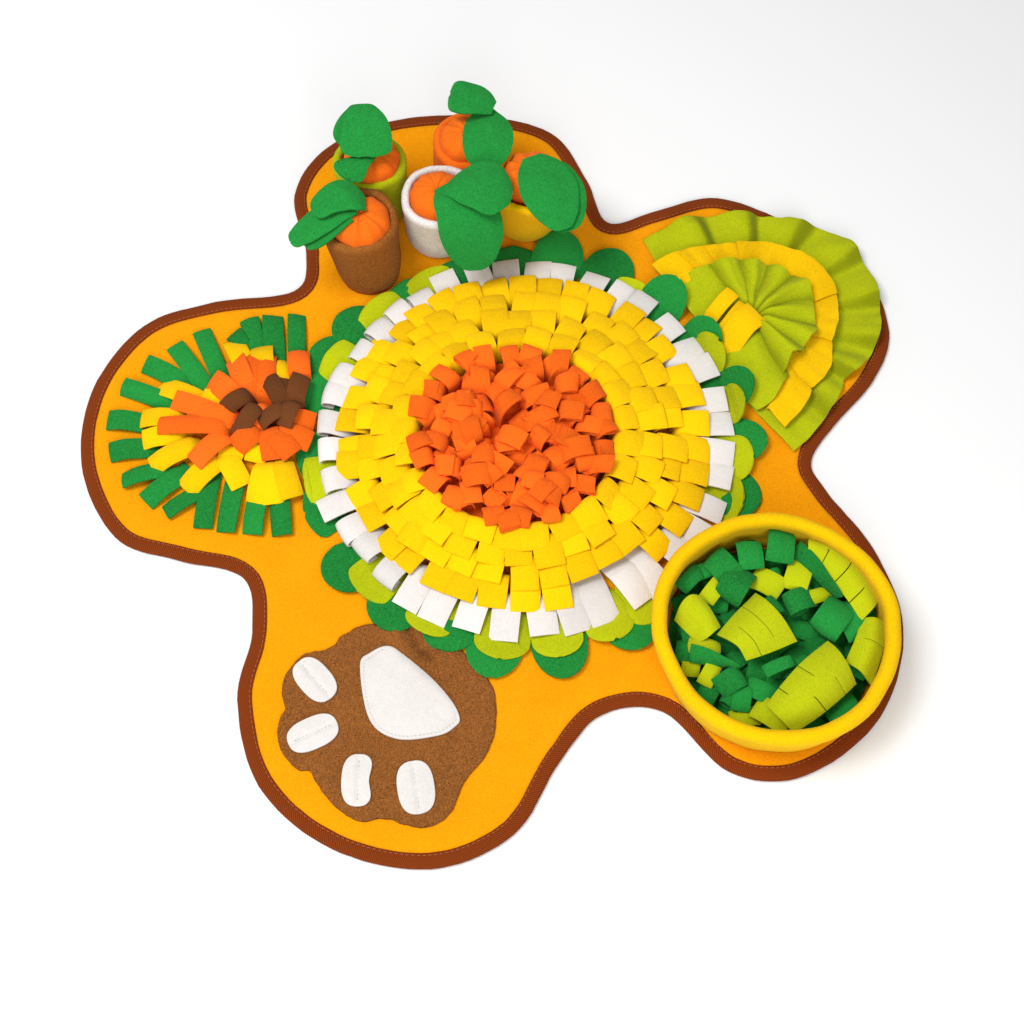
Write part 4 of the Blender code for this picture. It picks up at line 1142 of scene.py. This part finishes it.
def loose_strip(rng, x, y, z, heading, width, length, kind="lies"):
    """A strip whose middle lies about a place of the bowl, flat, rolled under or standing on its edge."""
    line = bent_line((0, 0, 0), heading, LOOSE_BENDS[kind], length, 14)
    line += np.array((x, y, z)) - (line[5, 0], line[5, 1], line[:, 2].max())
    twist = (30, 92) if kind == "stands" else (rng.uniform(-10, 10), rng.uniform(-14, 14))
    return ribbon(line, heading + 90, (width, width, width), twist, rng.uniform(0.3, 1.6))


THICK_FLEECE = 2.2
GREEN_STRIP = 0.035
FILL_STRIPS = 46
FILL_CENTRE = (220, -197)
FILL_REACH = 84
FILL_INSET = 6
FILL_TURN = 2.4
BOWL_BASE = ((88, 7), (76, 9), (60, 11), (44, 12), (28, 12), (8, 12))  # cloth under them: reach, height

rng = random.Random(91)
for name, node, sheets, tabs in BOWL_LIME:
    cuts = [cut_sheet(*sheet) for sheet in sheets] + [loose_strip(rng, *tab) for tab in tabs]
    # lighter tones than the lime elsewhere: painted light where the bowl's walls shade its lime
    piece, area = cloth(name, cuts, lime_fleece, THICK_FLEECE, [rng.uniform(0.4, 1.3) for _ in cuts])
    sew_on(piece, [node])
cuts = [loose_strip(rng, *strip) for strip in BOWL_GREEN]
for step in range(FILL_STRIPS):
    angle, away = FILL_TURN * step, FILL_REACH * math.sqrt((step + 0.5) / FILL_STRIPS) - FILL_INSET
    x, y = FILL_CENTRE[0] + away * math.cos(angle), FILL_CENTRE[1] + away * math.sin(angle)
    z, heading, kind = rng.uniform(15, 25), rng.uniform(0, 360), rng.choice(("lies", "rolls"))
    cuts.append(loose_strip(rng, x, y, z, heading, 17, 40, kind))
tones_and_shades = [rng.uniform(-1, 1) for _ in cuts]
cuts.append(base_cloth(BOWL_FOOT, BOWL_BASE, 60, 2.5, 14))
# the cloth under the strips takes the darkest tone, -1: painted shade under them
greens, area = cloth("bowl_green", cuts, green_fleece, THICK_FLEECE, tones_and_shades + [-1])
sew_on(greens, ["bowl_strips_green"])
length = len(cuts) * GREEN_STRIP

# ---- the pots ----
# Five little fleece pots sewn to the mat, their thick rims rolled in to the carrots. The white one is of
# plush, and the yellow one's far side sags.

# foot and its radius, rim and its radius, height, how far the far side sags, slot
POTS = {
    "brown": ((-140, 191), 29.5, (-145, 197), 37.2, 80.0, 0, "fleece_brown"),
    "lime": ((-136, 271), 30.0, (-138, 267), 35.5, 80.0, 4, "fleece_lime"),
    "white": ((-74, 236), 31.0, (-70, 226), 37.0, 77.0, 0, "plush_white"),
    "orange": ((-50, 302), 31.0, (-42, 291), 35.5, 80.0, 2, "fleece_orange"),
    "yellow": ((12, 255), 31.0, (15, 241), 37.5, 80.0, 20, "fleece_yellow"),
}
POT_BROWN = (0.30, 0.105, 0.018)
PLUSH_WHITE = (0.80, 0.775, 0.75)
CARROT_ORANGE = (0.98, 0.165, 0.010)
POT_SIDES = 64
POT_SAG = 2.4
POT_FLOOR = 7.5
carrot_fleece = fleece("Carrot fleece", CARROT_ORANGE, swell=0.25)
pot_finish = {
    "brown": fleece("Brown pot fleece", POT_BROWN, 1.6, 0.7),
    "lime": lime_fleece,
    "white": fleece("White plush", PLUSH_WHITE, 1.6, 0.08),
    "orange": carrot_fleece,
    "yellow": yellow_fleece,
}
for seed, (name, pot) in enumerate(POTS.items(), 60):
    foot, foot_radius, rim, rim_radius, high, dip, slot = pot
    middle = (foot_radius + rim_radius) / 2
    section = (
        (foot_radius - 3, TOP), (foot_radius - 0.5, TOP + 1), (foot_radius + 0.6, TOP + 5),
        (middle - 0.6, high * 0.3), (middle + 0.9, high * 0.55), (rim_radius - 0.8, high * 0.8),
        (rim_radius + 0.3, high - 7),
        (rim_radius + 0.5, high - 3.5), (rim_radius - 0.6, high - 0.4), (rim_radius - 2.8, high + 1.2),
        (rim_radius - 5.4, high + 1.2), (rim_radius - 7.2, high - 0.8), (rim_radius - 7.9, high - 4.5),
        (rim_radius - 7.4, high - 11), (middle - 5, high * 0.5), (foot_radius - 4, POT_FLOOR),
    )
    rings = soft_wall(foot, rim, high, section, POT_SIDES, POT_SAG, seed, dip)
    pot = add_piece(f"pot_{name}_fleece", *lofted(rings, "flat", "flat"), pot_finish[name])
    sew_on(pot, [f"pot_{name}"])

# ---- the carrots ----
# Orange fleece carrots stuffed firm, their crowns drawn in to wrinkles where the leaf is sewn on.
CARROTS = {
    "brown": ((-140, 191), (-143, 192), 27.0),
    "lime": ((-136, 271), (-135, 262), 26.5),
    "white": ((-74, 236), (-71, 219), 26.0),
    "orange": ((-50, 302), (-44, 285), 26.5),
    "yellow": ((14, 255), (18, 241), 28.5),
}
CARROT_TOP = 97.5
CARROT_SHAPE = (
    (0, 0.12), (0.02, 0.24), (0.12, 0.46), (0.3, 0.62), (0.55, 0.82), (0.7, 0.95), (0.77, 1.0), (0.83, 1.0),
    (0.88, 0.96), (0.92, 0.87), (0.95, 0.75), (0.975, 0.59), (0.99, 0.42), (0.998, 0.26), (0.985, 0.13),
    (0.975, 0.05),
)
CARROT_SIDES = 72
CARROT_GAP = 0.4  # over the pot's floor
DRAWN_FROM, DRAWN_OVER = 0.7, 0.3  # shares of the height: where the crown starts, and how long it is
for seed, (name, (tip, crown, radius)) in enumerate(CARROTS.items(), 70):
    low = POT_FLOOR + CARROT_GAP
    rings = []
    for share, size in CARROT_SHAPE:
        ring = []
        drawn = max(0.0, (share - DRAWN_FROM) / DRAWN_OVER) ** 1.5
        for a in turns(CARROT_SIDES):
            x, y = math.cos(a), math.sin(a)
            fold = rolling(x * 3.2, y * 3.2, 1, seed + 5)
            r = radius * size * (1 + 0.16 * drawn * fold + 0.05 * rolling(x * 2, y * 2, 1, seed))
            z = low + (CARROT_TOP - low) * share + 3.0 * drawn * fold * (1 - size * 0.6)
            ring.append((*leaning(tip, crown, share, r * x, r * y), z))
        rings.append(ring)
    carrot = add_piece(f"carrot_{name}_fleece", *lofted(rings, "point", "point"), carrot_fleece)
    sew_on(carrot, [f"carrot_{name}"])

# ---- the carrots' leaves ----
# Thick green fleece leaves folded once and sewn to the crowns. They flop over the pots, each its own way.

# one or more leaves a piece, each a middle line as x, y, z, half width and the width's direction in degrees
CARROT_LEAVES = {
    "leaf_lime": (
        (
            (-137, 258, 98.3, 7, 0), (-145, 264, 103, 16, 0), (-150, 272, 110, 19, 0),
            (-149, 282, 116, 17, 0), (-146, 291, 120.5, 11, 0), (-143, 295, 123, 6, 0),
            (-141, 291, 125.5, 12, 0), (-139, 281, 126, 19, 0), (-137, 267, 123, 23, 0),
            (-137, 254, 117, 24, 0), (-137, 244, 111, 22, 0),
        ),
        (
            (-138, 256, 99.5, 8, 10), (-146, 247, 106, 17, 5), (-151, 237, 106, 16, 0),
            (-149, 229, 102, 11, 0), (-147, 224, 99, 5, 0),
        ),
    ),
    "leaf_orange_front": (
        (
            (-27, 309, 100.8, 8, 0), (-25, 296, 101, 20, 0), (-24, 276, 101.5, 24, 0),
            (-25, 256, 98, 20, 0), (-26, 247, 94, 11, 0), (-26, 244, 92, 4, 0),
        ),
    ),
    "leaf_orange_back": (
        (
            (-19, 306, 106, 7, 70), (-26, 309, 110, 13, 72), (-35, 311, 113, 17, 74),
            (-45, 312, 115, 18.5, 76), (-55, 313, 116, 17.5, 78), (-60, 313, 116, 14, 80),
        ),
    ),
    "leaf_white_low": (
        (
            (-66, 220, 98.6, 8, 30), (-53, 208, 101, 22, 20), (-42, 191, 98, 29, 8), (-39, 176, 84, 29, 4),
            (-38, 167, 66, 22, 0), (-38, 163, 54, 13, 0), (-38, 161, 49, 5, 0),
        ),
    ),
    "leaf_white_top": (
        (
            (-66, 214, 101.3, 4, 70), (-52, 216, 108, 16, 75), (-33, 214, 112.5, 27, 78),
            (-17, 209, 111, 28, 80), (-7, 206, 107, 17, 80), (-2, 205, 104, 7, 80),
        ),
    ),
    "leaf_yellow_low": (
        (
            (22, 252, 98.8, 9, 20), (32, 236, 99.2, 23, 20), (42, 210, 97, 26, 20), (49, 187, 93, 18, 20),
            (52, 176, 90, 8, 20),
        ),
    ),
    "leaf_yellow_top": (
        (
            (17, 252, 102.4, 9, 20), (24, 239, 103.0, 21, 20), (33, 215, 103, 27, 20),
            (41, 191, 99, 20, 20), (45, 178, 96, 11, 20), (46, 174, 95, 5, 20),
        ),
    ),
    "leaf_brown_low": (
        (
            (-146, 195, 99.8, 7, 112), (-160, 192, 100.5, 13, 112), (-178, 184, 96, 15, 114),
            (-192, 177, 89.5, 13, 116), (-203, 171, 84, 9, 116), (-206, 169, 82.5, 4, 116),
        ),
        (
            (-150, 188, 98.2, 7, 112), (-166, 182, 94, 12, 114), (-182, 174, 87, 13, 116),
            (-194, 168, 81, 8, 118),
        ),
    ),
    "leaf_brown_top": (
        (
            (-137, 199, 101.5, 8, 98), (-144, 202, 106.5, 14, 100), (-155, 204, 109.5, 17, 104),
            (-168, 200, 108, 16, 108), (-180, 193, 103.5, 12, 112), (-185, 190, 101.5, 6, 112),
        ),
    ),
}
LEAF_ROWS, LEAF_COLUMNS = 60, 15
ROUND_TIP = 0.92  # share of a leaf's length from which its tip is rounded
TIP_TAKEN = 0.93  # share of its width, squared, that the rounding takes
SIDES_HANG = 0.14  # drop of its sides, as a share of its half width
LEAF_UNEVEN = 1.6
LEAF_TONES = (0.5, 0.0)
for seed, (node, spines) in enumerate(CARROT_LEAVES.items()):
    cuts, length = [], 0.0
    for spine in spines:
        spine = smooth_line(spine, LEAF_ROWS)
        along = np.linspace(0, 1, LEAF_ROWS)
        line, turn = spine[:, :3], np.radians(spine[:, 4])
        at_tip = np.clip((along - ROUND_TIP) / (1 - ROUND_TIP), 0, 1)
        half = spine[:, 3] * np.sqrt(1 - TIP_TAKEN * at_tip**2)
        side = np.column_stack([np.cos(turn), np.sin(turn), np.zeros(LEAF_ROWS)])
        offset = np.linspace(-1, 1, LEAF_COLUMNS)
        grid = line[:, None] + side[:, None] * half[:, None, None] * offset[None, :, None]
        grid[:, :, 2] -= half[:, None] * SIDES_HANG * offset[None, :] ** 2
        grid[:, :, 2] += [[LEAF_UNEVEN * rolling(x, y, 14, seed + 50 + z / 60) for x, y, z in row]
                          for row in grid]
        cuts.append(grid)
        length += np.linalg.norm(np.diff(line, axis=0), axis=1).sum() * MM
    piece, area = cloth(f"{node}_fleece", cuts, green_fleece, THICK_FLEECE, LEAF_TONES)
    sew_on(piece, [node])
    carrot = f"carrot_{node.split('_')[1]}_fleece"
